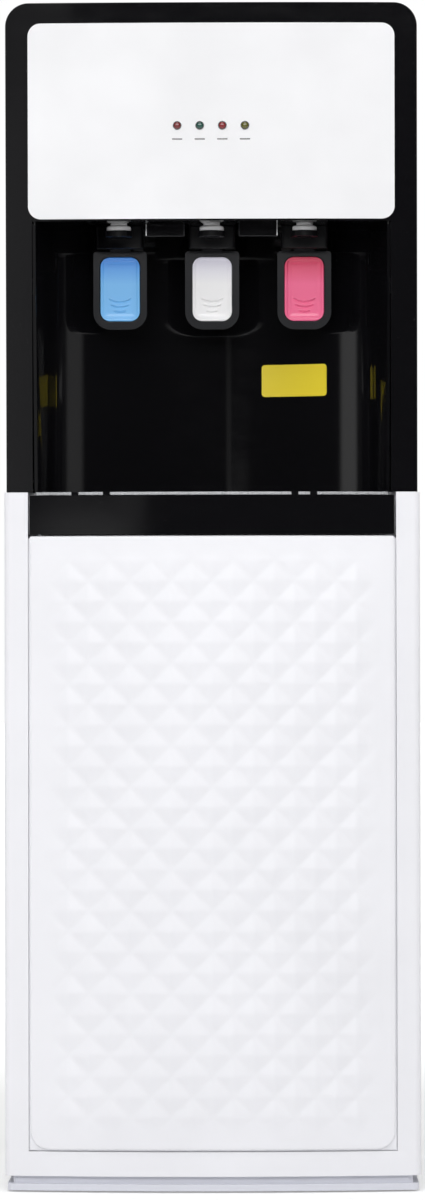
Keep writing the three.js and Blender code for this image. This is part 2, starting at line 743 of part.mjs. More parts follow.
const headSeam = frontY + headFrontDepth;
const panelOutline = (grow) => box2d(-panelHalf - grow, panelBottom - grow, panelHalf + grow, panelTop + grow,
  panelRound + grow, 5);
const panelLedge = 4;                    // the pocket's floor reaches this far past the panel
const panelFloor = 7;                    // from the head's front to the back of that floor
const lampZ = panelTop - lampDrop;
const lampNames = ['no_water', 'cold', 'hot', 'power'];
const lampXs = lampNames.map((name, i) => (i - 1.5) * lampPitch);

function lampHoles(grow) {
  return join(...lampXs.map((x) => lengthwise(circle(x, lampZ, lampRadius + grow, 12), frontY - 1, headSeam)));
}

function makeHeadFront() {
  const outer = lengthwise(headOutline(0, headBottom), frontY - 1, headSeam).intersect(headBlock(0));
  const hollow = lengthwise(headOutline(headWall, headBottom + headWall), frontY, backY);
  const opening = block([-alcoveHalf, frontY - 1, 0], [alcoveHalf, backY, ceiling]);
  const pocket = lengthwise(panelOutline(seatGap), frontY - 1, headSeam);
  const pocketFloor = headBlock(panelThick - panelProud + seatGap);
  let shell = cut(outer, hollow.intersect(headBlock(headWall)), opening);
  const ledge = lengthwise(panelOutline(panelLedge), frontY - 1, headSeam);
  const floor = ledge.intersect(cut(pocketFloor, headBlock(panelFloor)));
  shell = join(cut(shell, pocket.subtract(pocketFloor)), cut(floor, opening));
  add('head_front', cut(shell, lampHoles(seatGap)), finishes.glossBlack());
}

function makeFrontPanel() {
  const panel = lengthwise(panelOutline(0), frontY - 5, headSeam);
  const slab = cut(headBlock(-panelProud), headBlock(panelThick - panelProud));
  add('front_panel', cut(panel.intersect(slab), lampHoles(seatGap)), finishes.glossWhite());
}

function makeLamps() {
  const colours = ['#8c1e1e', '#1e7a68', '#b02a30', '#8f8a24'];
  const boardY = headFront(0, lampZ) + 9;
  lampNames.forEach((name, i) => {
    const face = headFront(lampXs[i], lampZ) - panelProud;
    const long = boardY - face;
    const profile = [[0, -1], [lampRadius - 1, -0.7], [lampRadius, 0.2], [lampRadius, long], [0, long]];
    const lamp = add(`indicator_${name}`, turned(profile, 12), finish(colours[i], 0.2));
    lamp.rotation.x = -Math.PI / 2;
    lamp.position.set(lampXs[i], face, lampZ);
  });
  const board = block([-2.6 * lampPitch, boardY + seatGap, lampZ - 11],
    [2.6 * lampPitch, boardY + 1.9, lampZ + 11]);
  add('indicator_board', board, finish('#1f5a3a', 0.5));
}

function makeWrap() {
  const outer = lengthwise(headOutline(0, headBottom), headSeam + seatGap, cabinetBack);
  const inner = lengthwise(headOutline(wrapWall, 0), frontY, backY);
  add('head_wrap', cut(outer, inner), finishes.blackSteel());
}

function makeAlcove() {
  const low = cabinetTop + 2 * seatGap;
  const outer = upright(alcovePlan(-alcoveWall, frontY), low, ceiling + alcoveWall);
  const inner = upright(alcovePlan(0, frontY - 1), 0, ceiling);
  let liner = cut(outer, inner).intersect(headBlock(headWall + seatGap));
  const panelSeat = cut(headBlock(0), headBlock(panelFloor + seatGap));
  liner = cut(liner, lengthwise(panelOutline(panelLedge + 1), frontY, headSeam).intersect(panelSeat));
  for (let i = -1; i <= 1; i += 1) {
    const hole = circle(i * tapPitch, nozzleY, nozzleRadius + seatGap, 12);
    liner = cut(liner, upright(hole, 0, height));
  }
  const bossHalf = tapPitch / 2 - collarRadius - 12.5;
  for (const side of [-0.5, 0.5]) {
    const x = side * tapPitch;
    const boss = box2d(x - bossHalf, nozzleY - 6, x + bossHalf, nozzleY + 14, 2, 2);
    liner = join(liner, upright(boss, ceiling - 5, ceiling + 1));
  }
  add('alcove_liner', liner, finishes.glossBlack());
}

// ---------- Taps and paddles ----------

const nozzleY = frontY + nozzleBehind;
const tapBottom = ceiling - tapDrop;
const paddleFront = pivotY - paddleThick / 2;
const paddleTop = tapBottom - 1.5;
const neckHalf = 9;
const slotHalf = neckHalf + 2;
const plungerZ = pivotZ - plungerDrop;

function makeTap(name, x) {
  const half = tapWidth / 2;
  const top = ceiling - seatGap;
  const nozzleLow = ceiling - nozzleDrop;
  const tapFront = nozzleY + 18.5;
  const slotDeep = 5;
  const collar = upright(circle(x, nozzleY, collarRadius, 14), nozzleLow + 1, nozzleLow + 6);
  const bridge = block([x - 6, nozzleY, nozzleLow + 1], [x + 6, tapFront + 1, nozzleLow + 6]);
  let tap = join(
    upright(box2d(x - half, tapFront, x + half, housingFront + 4, 3, 2), tapBottom, top),
    block([x - housingHalf, housingFront, plungerZ - 8], [x + housingHalf, housingBack, top]), collar, bridge);
  const bore = upright(circle(x, nozzleY, nozzleRadius + seatGap, 12), nozzleLow, ceiling);
  const slotBack = pivotY + slotDeep;
  const slot = block([x - slotHalf, pivotY - slotDeep, 0], [x + slotHalf, slotBack, pivotZ + slotDeep]);
  const sideways = new THREE.Vector3(slotHalf + 5, 0, 0);
  const pivot = new THREE.Vector3(x, pivotY, pivotZ);
  const trunnions = rod(pivot.clone().sub(sideways), pivot.clone().add(sideways), pivotRadius + runGap, 8);
  const stem = circle(x, plungerZ, plungerRadius + runGap, 10);
  const stemHole = lengthwise(stem, housingFront - 1, housingBack - 2);
  tap = cut(tap, bore, slot, trunnions, stemHole);
  add(`tap_${name}`, tap, finishes.glossBlack());
  const spout = upright(circle(x, nozzleY, nozzleRadius, 12), nozzleLow, ceiling + 10);
  const spoutBore = upright(circle(x, nozzleY, nozzleBore, 12), 0, height);
  add(`nozzle_${name}`, cut(spout, spoutBore), finishes.softClear());
}

function makePaddle(name, x, padFinish) {
  const half = paddleWidth / 2;
  const bottom = paddleTop - paddleHeight;
  const padTop = paddleTop - padBelowTop;
  const padDeep = 2.3;
  const padOut = 0.7;
  const back = paddleFront + paddleThick;
  const corners = [[x - half, bottom, paddleRound], [x + half, bottom, paddleRound],
    [x + half, paddleTop, 3], [x - half, paddleTop, 3]];
  const padPlan = (inset) => box2d(x - padWidth / 2 + inset, padTop - padHeight + inset,
    x + padWidth / 2 - inset, padTop - inset, padRound - inset, 3);
  const neck = box2d(paddleFront, paddleTop - 4, back, pivotZ + paddleThick / 2, paddleThick / 2 - 0.1, 3);
  const reach = new THREE.Vector3(slotHalf + 4, 0, 0);
  const pivot = new THREE.Vector3(x, pivotY, pivotZ);
  const lever = join(lengthwise(outline(corners, 5), paddleFront, back),
    crosswise(neck, x - neckHalf, x + neckHalf),
    rod(pivot.clone().sub(reach), pivot.clone().add(reach), pivotRadius, 8));
  const pocket = lengthwise(padPlan(-seatGap), frontY, paddleFront + padDeep + seatGap);
  add(`paddle_${name}`, cut(lever, pocket), finishes.darkPlastic());

  const face = paddleFront - padOut;
  const rimWall = 1.3;
  const dish = 0.8;
  let pad = lengthwise(padPlan(0), face, paddleFront + padDeep);
  pad = cut(pad, lengthwise(padPlan(rimWall), frontY, face + dish));
  const ribs = [[8.2, 9], [12.4, 15], [16.8, 18.5]];    // height above the pad's bottom, width
  for (const [up, wide] of ribs) {
    pad = join(pad, lengthwise(smile(x, padTop - padHeight + up, wide), face + 0.1, face + dish + 0.5));
  }
  add(`paddle_pad_${name}`, pad, padFinish);

  const stem = turned([[0, 0], [1.6, 0.4], [2.6, 1.4], [plungerRadius, 3], [plungerRadius, 13], [0, 13]], 12);
  const plunger = add(`plunger_${name}`, stem, finishes.softClear());
  plunger.rotation.x = -Math.PI / 2;
  plunger.position.set(x, back + seatGap, plungerZ);
}

// A curved grip rib: an arc that hangs down in the middle.
function smile(x, z, wide, steps = 4) {
  const bend = 17;
  const thick = 1.2;
  const reach = Math.asin(wide / 2 / bend);
  const points = [];
  for (const [radius, from] of [[bend + thick / 2, -1], [bend - thick / 2, 1]]) {
    for (let i = 0; i <= steps; i += 1) {
      const angle = from * reach * (1 - 2 * i / steps);
      points.push(new THREE.Vector2(x + radius * Math.sin(angle), z + bend - radius * Math.cos(angle)));
    }
  }
  return new THREE.Shape(points);
}

// ---------- Machine space ----------

const sideClear = headHalf - wrapWall - 2 * seatGap;

function makeCompressor() {
  const [x, y] = compressorPlace;
  const top = compressorHeight;
  const fill = compressorFill;
  const seam = top * 0.45;
  const r = compressorRadius - 3;
  const port = 3;                        // radius of the process tube's bore
  const can = turned([[0, 0], [r * 0.8, 0], [r, 14], [r, seam], [compressorRadius, seam],
    [compressorRadius, seam + 6], [r - 1, seam + 6], [r - 1, top - 34], [r * 0.72, top - 8], [2 * port, top],
    [2 * port, top + 12], [port, top + 12], [port, top - fill], [r * 0.72 - fill, top - 8 - fill],
    [r - 1 - fill, top - 34 - fill], [r - 1 - fill, 14 + fill], [r * 0.8 - fill, fill], [0, fill]], 12);
  const plate = upright(box2d(-80, -50, 80, 50, 14, 3), 0, 3);
  const feet = [];
  for (const [footX, footY] of [[-66, -38], [66, -38], [-66, 38], [66, 38]]) {
    feet.push(upright(circle(footX, footY, 9, 8), seatGap - compressorLift, 1));
  }
  const terminals = block([r - 14, -22, 20], [r + 12, 22, 66]);
  const compressor = add('compressor', join(can, plate, ...feet, terminals), finishes.blackSteel());
  compressor.position.set(x, y, deckTop + compressorLift);
}

function makeHotTank() {
  const [x, y] = hotTankPlace;
  const foot = hotTankFoot;
  const bandLow = deckTop + foot + 30;
  const r = hotTankRadius;
  const belowShelf = 7;
  const top = tankShelfTop - deckTop - tankNeck - belowShelf;
  const outside = [[0, seatGap], [r * 0.7, seatGap], [r * 0.7, foot], [r - 8, foot + 2], [r, foot + 9],
    [r, top - 9], [r - 8, top - 2], [tankPort + tankWall, top], [tankPort + tankWall, top + tankNeck]];
  const inside = [[tankPort, top + tankNeck], [tankPort, top - tankWall], [r - 8, top - 2 - tankWall],
    [r - tankWall, top - 9 - tankWall], [r - tankWall, foot + 9 + tankWall], [r - 8, foot + 2 + tankWall],
    [0, foot + tankWall]];
  const tank = turned([...outside, ...inside], 16);
  add('hot_tank', tank, finishes.steel()).position.set(x, y, deckTop);
  const band = cut(upright(circle(x, y, r + heaterThick + seatGap, 20), bandLow, bandLow + heaterHeight),
    upright(circle(x, y, r + 3 * seatGap, 20), 0, height));
  const clamp = block([x - 7, y - r - heaterThick - clampReach, bandLow + 8],
    [x + 7, y - r - 1, bandLow + heaterHeight - 8]);
  add('heater_band', join(band, clamp), finishes.blackSteel());
}

function makeTankShelf() {
  const flange = 20;
  const [top, low, half] = [tankShelfTop, tankShelfTop - flange, sideClear];
  const inner = half - deckThick;
  const profile = outline([[-half, low], [-half, top], [half, top], [half, low],
    [inner, low], [inner, top - deckThick], [-inner, top - deckThick], [-inner, low]]);
  const hole = upright(circle(...hotTankPlace, 24, 16), 0, height);
  const front = alcoveBackY + alcoveWall + shelfBehind;
  add('tank_shelf', cut(lengthwise(profile, front, upperBackFront - seatGap), hole), finishes.whiteSteel());
}

class Helix extends THREE.Curve {
  constructor(radius, pitch, turns) {
    super();
    Object.assign(this, { radius, pitch, turns });
  }

  getPoint(t, target = new THREE.Vector3()) {
    const angle = 2 * Math.PI * this.turns * t;
    const rise = this.pitch * this.turns * t;
    return target.set(this.radius * Math.cos(angle), this.radius * Math.sin(angle), rise);
  }
}

function makeColdTank() {
  const [x, y] = coldTankPlace;
  const r = coldTankRadius;
  const tall = coldTankHeight;
  const outside = [[0, seatGap], [r - 6, seatGap], [r, 6], [r, tall - 6], [r + 5, tall - 6], [r + 5, tall - 2],
    [r - 4, tall], [tankPort, tall]];
  const inside = [[tankPort, tall - tankWall], [r - 4, tall - tankWall - 2], [r - tankWall, tall - 8],
    [r - tankWall, 6 + tankWall], [r - 6 - tankWall, seatGap + tankWall], [0, seatGap + tankWall]];
  const tank = turned([...outside, ...inside], 16);
  add('cold_tank', tank, finishes.steel()).position.set(x, y, tankShelfTop);
  const stepsPerTurn = 8;
  const chordSag = 1 - Math.cos(Math.PI / stepsPerTurn);
  const radius = (r + coilTubeRadius + 0.5) * (1 + chordSag);
  const helix = new Helix(radius, coilPitch, coilTurns);
  const tube = pipe(helix, coilTubeRadius, 5, stepsPerTurn * coilTurns);
  const coil = add('evaporator_coil', tube, finishes.copper());
  coil.position.set(x, y, tankShelfTop + coilMargin);
  printLeastGap(helix);
}

// The least gap between neighbouring turns, measured between points along the coil.
function printLeastGap(helix) {
  const perTurn = 72;
  let least = Infinity;
  for (let i = 0; i + perTurn / 2 <= perTurn * coilTurns; i += 1) {
    for (let j = i + perTurn / 2; j <= perTurn * coilTurns; j += 1) {
      const a = helix.getPoint(i / perTurn / coilTurns);
      least = Math.min(least, a.distanceTo(helix.getPoint(j / perTurn / coilTurns)));
    }
  }
  console.log(`evaporator coil: least gap to itself ${(least - 2 * coilTubeRadius).toFixed(2)} mm`);
}

const clampReach = 9;
const pumpHalf = pumpRadius + 1;
const pumpY = hotTankPlace[1] - hotTankRadius - heaterThick - clampReach - pumpClear - pumpHalf;
const pumpZ = deckTop + pumpHalf + 6;
const portX = innerHalf - portInset;
const portLength = 28;

function makePump() {
  const motorLength = 64;
  const headLength = 30;
  const headStart = portX + 8 - headLength;
  const motor = rod(new THREE.Vector3(headStart - motorLength, pumpY, pumpZ),
    new THREE.Vector3(headStart + 1, pumpY, pumpZ), pumpRadius, 16);
  const headPiece = block([headStart, pumpY - pumpHalf, pumpZ - pumpHalf],
    [headStart + headLength, pumpY + pumpHalf, pumpZ + pumpHalf]);
  const foot = block([headStart - motorLength + 8, pumpY - 16, deckTop + seatGap],
    [headStart + 18, pumpY + 16, pumpZ - 12]);
  const port = rod(new THREE.Vector3(portX, pumpY, pumpZ),
    new THREE.Vector3(portX, pumpY + portLength, pumpZ), hoseRadius - 1, 10);
  add('pump', join(motor, headPiece, foot, port), finishes.darkPlastic());
}

// The suction probe, parked in its holder, and the hose that rises from it to the pump.
function makeProbe() {
  const cap = [[0, 0], [dipTubeRadius + 4, 0], [probeRadius - 3, 2], [probeRadius, 5], [probeRadius, 26],
    [probeRadius - 5, 32], [8, 34], [8, 38], [hoseRadius, 40], [0, 40]];
  const stem = upright(circle(0, 0, dipTubeRadius, 12), -dipTubeLength, 4);
  const probe = add('suction_probe', join(turned(cap, 16), stem), finishes.softClear());
  probe.position.set(hoseX, hoseY, probeBottom);
  const front = hoseY - probeRadius * 0.7;
  const holderTop = probeBottom - seatGap;
  const plate = box2d(hoseX - probeRadius, front, innerHalf, backSheetFront - seatGap, 3, 2);
  const slotWay = join(upright(circle(hoseX, hoseY, dipTubeRadius + 5), 0, height),
    block([hoseX - dipTubeRadius - 4, frontY, 0], [hoseX + dipTubeRadius + 4, hoseY, height]));
  const flange = block([hoseX - probeRadius, backSheetFront - seatGap - 3, holderTop - 24],
    [innerHalf, backSheetFront - seatGap, holderTop]);
  const holder = join(cut(upright(plate, holderTop - 3, holderTop), slotWay), flange);
  add('probe_holder', holder, finishes.whitePlastic());
  const rise = probeBottom + 40 + seatGap;
  const route = [[hoseX, hoseY, rise], [hoseX, hoseY, rise + 12], [hoseX, hoseY, deckTop - 8],
    [hoseX + 2, hoseY - 4, deckTop + 12], [portX - 4, hoseY - 22, pumpZ - 3], [portX, hoseY - 48, pumpZ],
    [portX, (hoseY + pumpY) / 2, pumpZ], [portX, pumpY + portLength + 17, pumpZ],
    [portX, pumpY + portLength + seatGap, pumpZ]];
  const points = route.map((point) => new THREE.Vector3(...point));
  const curve = new THREE.CatmullRomCurve3(points, false, 'centripetal');
  add('suction_hose', pipe(curve, hoseRadius, 7, 20), finishes.softClear());
}

function makeControlBox() {
  const [x, y] = [hotTankPlace[0] + 4, hotTankPlace[1]];
  const half = 54;
  const rimHalf = half + 3;
  const rimLow = tankShelfTop + 50;
  const body = block([x - half, y - half, tankShelfTop + seatGap], [x + half, y + half, rimLow + 12]);
  const lid = block([x - rimHalf, y - rimHalf, rimLow], [x + rimHalf, y + rimHalf, rimLow + 6]);
  add('control_box', join(body, lid), finishes.darkPlastic());
}

// ---------- Back ----------

const condenserWidth = width - 2 * condenserInset;
const condenserPitch = (cabinetTop - condenserHead - condenserBottom) / (condenserRuns - 1);
const bendRadius = condenserPitch / 2;
const condenserEnds = [-condenserWidth / 2, -condenserWidth / 2 - riserSpacing];
const switchZ = height - switchDrop;
const switchXs = { hot: -switchSpacing, cold: switchSpacing };
const glandPlace = [-120, deckTop + 42];
const drainPlace = [98, deckTop + 24];
const drainHole = 6.5;
const rockerPivotY = backSheetOuter - 3;

function makeUpperBack() {
  const edge = wrapWall + seatGap;
  const low = headBottom + seatGap;
  const shape = headOutline(edge, low);
  let panel = lengthwise(shape, upperBackFront, backSheetOuter);
  const vents = [];
  const seamLouvres = cabinetTop + lowLouvres;
  for (let i = 0; i < louvreRows; i += 1) {
    for (const [side, start] of [[-1, seamLouvres], [1, seamLouvres], [0, height - highLouvres]]) {
      const x = side * (louvreWidth + louvreGap) / 2;
      const z = start + i * louvrePitch;
      const slot = box2d(x - louvreWidth / 2, z, x + louvreWidth / 2, z + louvreHeight);
      vents.push(lengthwise(slot, 0, backY));
    }
  }
  for (const x of Object.values(switchXs)) {
    const frame = box2d(x - switchWidth / 2 - 3, switchZ - switchHeight / 2 - 3, x + switchWidth / 2 + 3,
      switchZ + switchHeight / 2 + 3, 2, 2);
    panel = join(panel, lengthwise(frame, backSheetOuter - 1, backSheetOuter + 1.5));
    const hole = box2d(x - switchWidth / 2 - runGap, switchZ - switchHeight / 2 - runGap,
      x + switchWidth / 2 + runGap, switchZ + switchHeight / 2 + runGap);
    vents.push(lengthwise(hole, 0, backY));
  }
  vents.push(lengthwise(circle(...drainPlace, drainHole, 12), 0, backY));
  vents.push(lengthwise(circle(...glandPlace, 8, 12), 0, backY));
  for (const x of condenserEnds) {
    vents.push(lengthwise(circle(x, condenserRise, condenserTube + 2, 8), 0, backY));
  }
  add('upper_back_panel', cut(panel, join(...vents)), finishes.blackSteel());
}

function makeSwitches() {
  const tilt = 8;
  const half = switchHeight / 2 - 0.3;
  for (const [name, x] of Object.entries(switchXs)) {
    const profile = outline([[-5, -5], [1.5, -half], [4.5, -half], [2.6, 0], [4.5, half], [1.5, half],
      [-5, 5]]);
    const rocker = crosswise(profile, -switchWidth / 2 + 0.2, switchWidth / 2 - 0.2);
    const button = add(`switch_${name}`, rocker, name === 'hot' ? finishes.red() : finishes.blue());
    button.rotation.x = THREE.MathUtils.degToRad(tilt);
    button.position.set(x, rockerPivotY, switchZ);
  }
}

function makeBackFittings() {
  const [glandX, glandZ] = glandPlace;
  const bush = turned([[4, -6], [7.6, -6], [7.6, 0.3], [10, 0.3], [10, 4], [7, 9], [4, 9], [4, -6]], 12);
  const gland = add('cord_gland', bush, finishes.rubber());
  gland.rotation.x = -Math.PI / 2;
  gland.position.set(glandX, backSheetOuter, glandZ);
  const stem = drainHole - runGap - 0.2;
  const plug = turned([[0, -12], [stem, -12], [stem, seatGap], [11, seatGap], [11, 7], [9, 9], [0, 9]], 20);
  const wing = block([-8, -1.6, 8], [8, 1.6, 13]);
  const [drainX, drainZ] = drainPlace;
  const drain = add('drain_plug', join(plug, wing), finishes.darkPlastic());
  drain.rotation.x = -Math.PI / 2;
  drain.position.set(drainX, backSheetOuter, drainZ);
}

const wireOuter = backY;
const tubeApothem = condenserTube * Math.cos(Math.PI / 6);
const tubeY = wireOuter - 2 * condenserWire - tubeApothem + 0.4;
const condenserTop = condenserBottom + (condenserRuns - 1) * condenserPitch;
const condenserRise = deckTop + 22;

// The condenser's path: down one riser, then level runs joined by half-round bends, and up the other riser.
function condenserPath() {
  const bendSteps = 4;
  const half = condenserWidth / 2;
  const corner = bendRadius / 2;
  const outerX = condenserEnds[1];
  const low = condenserBottom;
  const points = [[outerX, condenserRise], [outerX, low + corner], [outerX + corner, low]];
  for (let run = 0; run < condenserRuns; run += 1) {
    const side = run % 2 === 0 ? 1 : -1;
    const z = low + run * condenserPitch;
    if (run === condenserRuns - 1) {
      points.push([side * (half - corner), z], [side * half, z + corner], [side * half, condenserRise]);
      break;
    }
    for (let i = 0; i <= bendSteps; i += 1) {
      const angle = -Math.PI / 2 + Math.PI * i / bendSteps;
      const x = side * (half - bendRadius + bendRadius * Math.cos(angle));
      points.push([x, z + bendRadius * (1 + Math.sin(angle))]);
    }
  }
  return points;
}

// A round tube through points [x, z] of a path that keeps to one upright plane.
function flatTube(path, y, radius, sides = 6) {
  const points = path.map(([x, z]) => new THREE.Vector2(x, z));
  const vertices = [];
  const faces = [];
  points.forEach((point, i) => {
    const back = points[Math.max(i - 1, 0)];
    const ahead = points[Math.min(i + 1, points.length - 1)];
    const incoming = point.clone().sub(back).normalize();
    const outgoing = ahead.clone().sub(point).normalize();
    const along = incoming.add(outgoing).normalize();
    const across = new THREE.Vector2(-along.y, along.x);
    for (let k = 0; k < sides; k += 1) {
      const angle = 2 * Math.PI * (k + 0.5) / sides;
      const out = radius * Math.cos(angle);
      vertices.push(point.x + across.x * out, y + radius * Math.sin(angle), point.y + across.y * out);
    }
  });
  for (let i = 0; i < points.length - 1; i += 1) {
    for (let k = 0; k < sides; k += 1) {
      const next = (k + 1) % sides;
      const [a, b] = [i * sides + k, i * sides + next];
      faces.push(a, b, b + sides, a, b + sides, a + sides);
    }
  }
  for (let k = 1; k < sides - 1; k += 1) {
    const last = (points.length - 1) * sides;
    faces.push(0, k + 1, k, last, last + k, last + k + 1);
  }
  const geometry = new THREE.BufferGeometry();
  geometry.setAttribute('position', new THREE.Float32BufferAttribute(vertices, 3));
  geometry.setIndex(faces);
  return solid(geometry);
}

function makeCondenser() {
  const tube = flatTube(condenserPath(), tubeY, condenserTube);
  const span = condenserWidth - 2 * bendRadius - 14;
  const wires = [];
  for (let i = 0; i < condenserWires; i += 1) {
    const x = -span / 2 + span * i / (condenserWires - 1);
    wires.push(block([x - condenserWire, wireOuter - 2 * condenserWire, condenserBottom - 12],
      [x + condenserWire, wireOuter, condenserTop + 12]));
  }
  const tabs = [];
  const tabHalf = 6;
  for (const side of [-1, 1]) {
    for (const run of [1.5, condenserRuns - 2.5]) {
      const z = condenserBottom + run * condenserPitch;
      const [near, far] = [side * (span / 2 - 4), side * (halfWidth - 3)];
      const foot = side * (halfWidth - 5);
      const [left, right] = [Math.min(near, far), Math.max(near, far)];
      const [footLeft, footRight] = [Math.min(foot, far), Math.max(foot, far)];
      const start = cabinetBack + seatGap;
      tabs.push(block([left, wireOuter - 2, z - tabHalf], [right, wireOuter - 0.6, z + tabHalf]));
      tabs.push(block([footLeft, start, z - tabHalf], [footRight, wireOuter - 1, z + tabHalf]));
    }
  }
  const ends = condenserEnds.map((x) => rod(new THREE.Vector3(x, tubeY, condenserRise),
    new THREE.Vector3(x, backSheetOuter - 8, condenserRise), condenserTube, 6));
  add('condenser', join(tube, ...wires, ...tabs, ...ends), finishes.blackSteel());
}

// ---------- The whole cooler ----------

const padFinishes = { cold: finishes.blue(), room: finishes.white(), hot: finishes.red() };

makeBase();
makeFrame();
makeSidePanels();
makeLowerBack();
makeBayFloor();
makeDeck();
makeHinges();
makeDoor();
makeLiner();
makeTray();
makeGrille();
makeHeadFront();
makeFrontPanel();
makeLamps();
makeWrap();
makeAlcove();
tapNames.forEach((name, i) => {
  const x = (i - 1) * tapPitch;
  makeTap(name, x);
  makePaddle(name, x, padFinishes[name]);
});
makeCompressor();
makeHotTank();
makeTankShelf();
makeColdTank();
makePump();
makeProbe();
makeControlBox();
makeUpperBack();
makeSwitches();
makeBackFittings();
makeCondenser();

export default cooler;
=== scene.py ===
# Bottom load water cooler in a plain studio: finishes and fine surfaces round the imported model.
import json
import math
import bmesh
import bpy
from mathutils import Matrix, Vector


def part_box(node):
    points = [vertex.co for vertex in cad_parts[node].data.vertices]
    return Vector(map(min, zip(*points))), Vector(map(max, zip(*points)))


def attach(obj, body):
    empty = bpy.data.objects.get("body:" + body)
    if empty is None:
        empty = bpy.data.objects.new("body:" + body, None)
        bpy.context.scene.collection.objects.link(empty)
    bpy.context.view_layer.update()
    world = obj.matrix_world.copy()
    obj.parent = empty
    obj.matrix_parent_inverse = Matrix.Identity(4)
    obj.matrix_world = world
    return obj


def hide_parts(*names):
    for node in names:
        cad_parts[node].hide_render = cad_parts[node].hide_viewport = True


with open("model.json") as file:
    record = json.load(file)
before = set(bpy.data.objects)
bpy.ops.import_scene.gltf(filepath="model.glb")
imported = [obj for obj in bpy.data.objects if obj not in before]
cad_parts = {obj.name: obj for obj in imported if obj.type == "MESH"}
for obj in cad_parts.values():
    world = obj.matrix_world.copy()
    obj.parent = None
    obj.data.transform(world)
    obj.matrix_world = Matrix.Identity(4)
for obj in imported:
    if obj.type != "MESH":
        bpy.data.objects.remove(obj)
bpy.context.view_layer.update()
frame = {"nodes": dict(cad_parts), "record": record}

nodes = frame["nodes"]
mm = 0.001
bodyOf = {node: body for body, members in frame["record"]["behaviour"]["bodies"].items() for node in members}
slotOf = {row["node"]: row["material_slot"] for row in frame["record"]["subparts"]}
print("loaded", len(nodes), "nodes")


# Camera: far off and nearly level, as the photograph shows next to no perspective.
cameraPlan = {"place": (0.0426, -4.7135, 0.446), "yaw": -0.00929, "pitch": 0.01312, "roll": -0.00198, "lens": 159.5}


def makeCamera(plan):
    data = bpy.data.cameras.new("studioCamera")
    data.lens = plan["lens"]
    data.sensor_width = 36
    data.clip_end = 100
    camera = bpy.data.objects.new("studioCamera", data)
    turn = Matrix.Rotation(-plan["yaw"], 4, "Z") @ Matrix.Rotation(math.pi / 2 + plan["pitch"], 4, "X")
    camera.matrix_world = Matrix.Translation(plan["place"]) @ turn @ Matrix.Rotation(plan["roll"], 4, "Z")
    bpy.context.scene.collection.objects.link(camera)
    bpy.context.scene.camera = camera


makeCamera(cameraPlan)
bpy.context.scene.view_settings.view_transform = "Standard"


# Makes a node and sets its inputs, by name or place, each to a value or from another node's output.
def addNode(tree, kind, inputs=None, **settings):
    node = tree.nodes.new(kind)
    for key, value in settings.items():
        setattr(node, key, value)
    feedNode(tree, node, inputs or {})
    return node


def feedNode(tree, node, inputs):
    for key, value in inputs.items():
        if isinstance(value, bpy.types.NodeSocket):
            tree.links.new(value, node.inputs[key])
        else:
            node.inputs[key].default_value = value


# ---- finishes ----

def objectPlace(tree, stretch=(1, 1, 1)):
    place = addNode(tree, "ShaderNodeTexCoord").outputs["Object"]
    return addNode(tree, "ShaderNodeMapping", {"Vector": place, "Scale": stretch}).outputs["Vector"]


def newFinish(name):
    material = bpy.data.materials.new(name)
    material.use_nodes = True
    tree = material.node_tree
    return material, tree, tree.nodes["Principled BSDF"], objectPlace(tree)


def noise(tree, place, scale, detail=2.0, rough=0.5):
    inputs = {"Vector": place, "Scale": scale, "Detail": detail, "Roughness": rough}
    return addNode(tree, "ShaderNodeTexNoise", inputs).outputs["Fac"]


def span(tree, value, low, high, fromLow=0.3, fromHigh=0.7):
    inputs = {"Value": value, "From Min": fromLow, "From Max": fromHigh, "To Min": low, "To Max": high}
    return addNode(tree, "ShaderNodeMapRange", inputs).outputs["Result"]


def blendColours(tree, share, first, second):
    node = addNode(tree, "ShaderNodeMix", data_type="RGBA")
    places = {socket.identifier: i for i, socket in enumerate(node.inputs)}
    first, second = (c if isinstance(c, bpy.types.NodeSocket) else (*c, 1) for c in (first, second))
    feedNode(tree, node, {places["Factor_Float"]: share, places["A_Color"]: first, places["B_Color"]: second})
    return next(socket for socket in node.outputs if socket.identifier == "Result_Color")


# Soft clouds of two tones.
def cloudy(tree, place, scale, detail, first, second):
    return blendColours(tree, span(tree, noise(tree, place, scale, detail), 0, 1), first, second)


def addBump(tree, height, shader, strength, distance):
    bump = addNode(tree, "ShaderNodeBump", {"Strength": strength, "Distance": distance, "Height": height})
    feedNode(tree, shader, {"Normal": bump.outputs["Normal"]})


def shade(colour, factor):
    return tuple(min(1, c * factor) for c in colour)


# Colour in soft clouds of two tones, gloss marked by a second noise and a bump by a third, or by the marks.
def textured(name, colour, tones, clouds, marks, gloss, bump, others):
    material, tree, shader, place = newFinish(name)
    stretch, *pattern = marks
    marked = noise(tree, objectPlace(tree, stretch), *pattern)
    colours = [shade(colour, tone) for tone in tones]
    feedNode(tree, shader, {"Base Color": cloudy(tree, place, *clouds, *colours),
                            "Roughness": span(tree, marked, *gloss), **others})
    grain, strength, depth = bump
    addBump(tree, noise(tree, place, grain) if grain else marked, shader, strength, depth)
    return material


# Moulded plastic: fine spark-eroded grain, slight unevenness, faint handling marks in the gloss.
def mouldedPlastic(name, colour, rough, shine=0.5):
    return textured(name, colour, (0.97, 1.01), (9, 3), ((1, 1, 0.35), 60, 4, 0.6), (rough * 0.97, rough * 1.04),
                    (1400, 0.35, 0.00002), {"Specular IOR Level": shine})


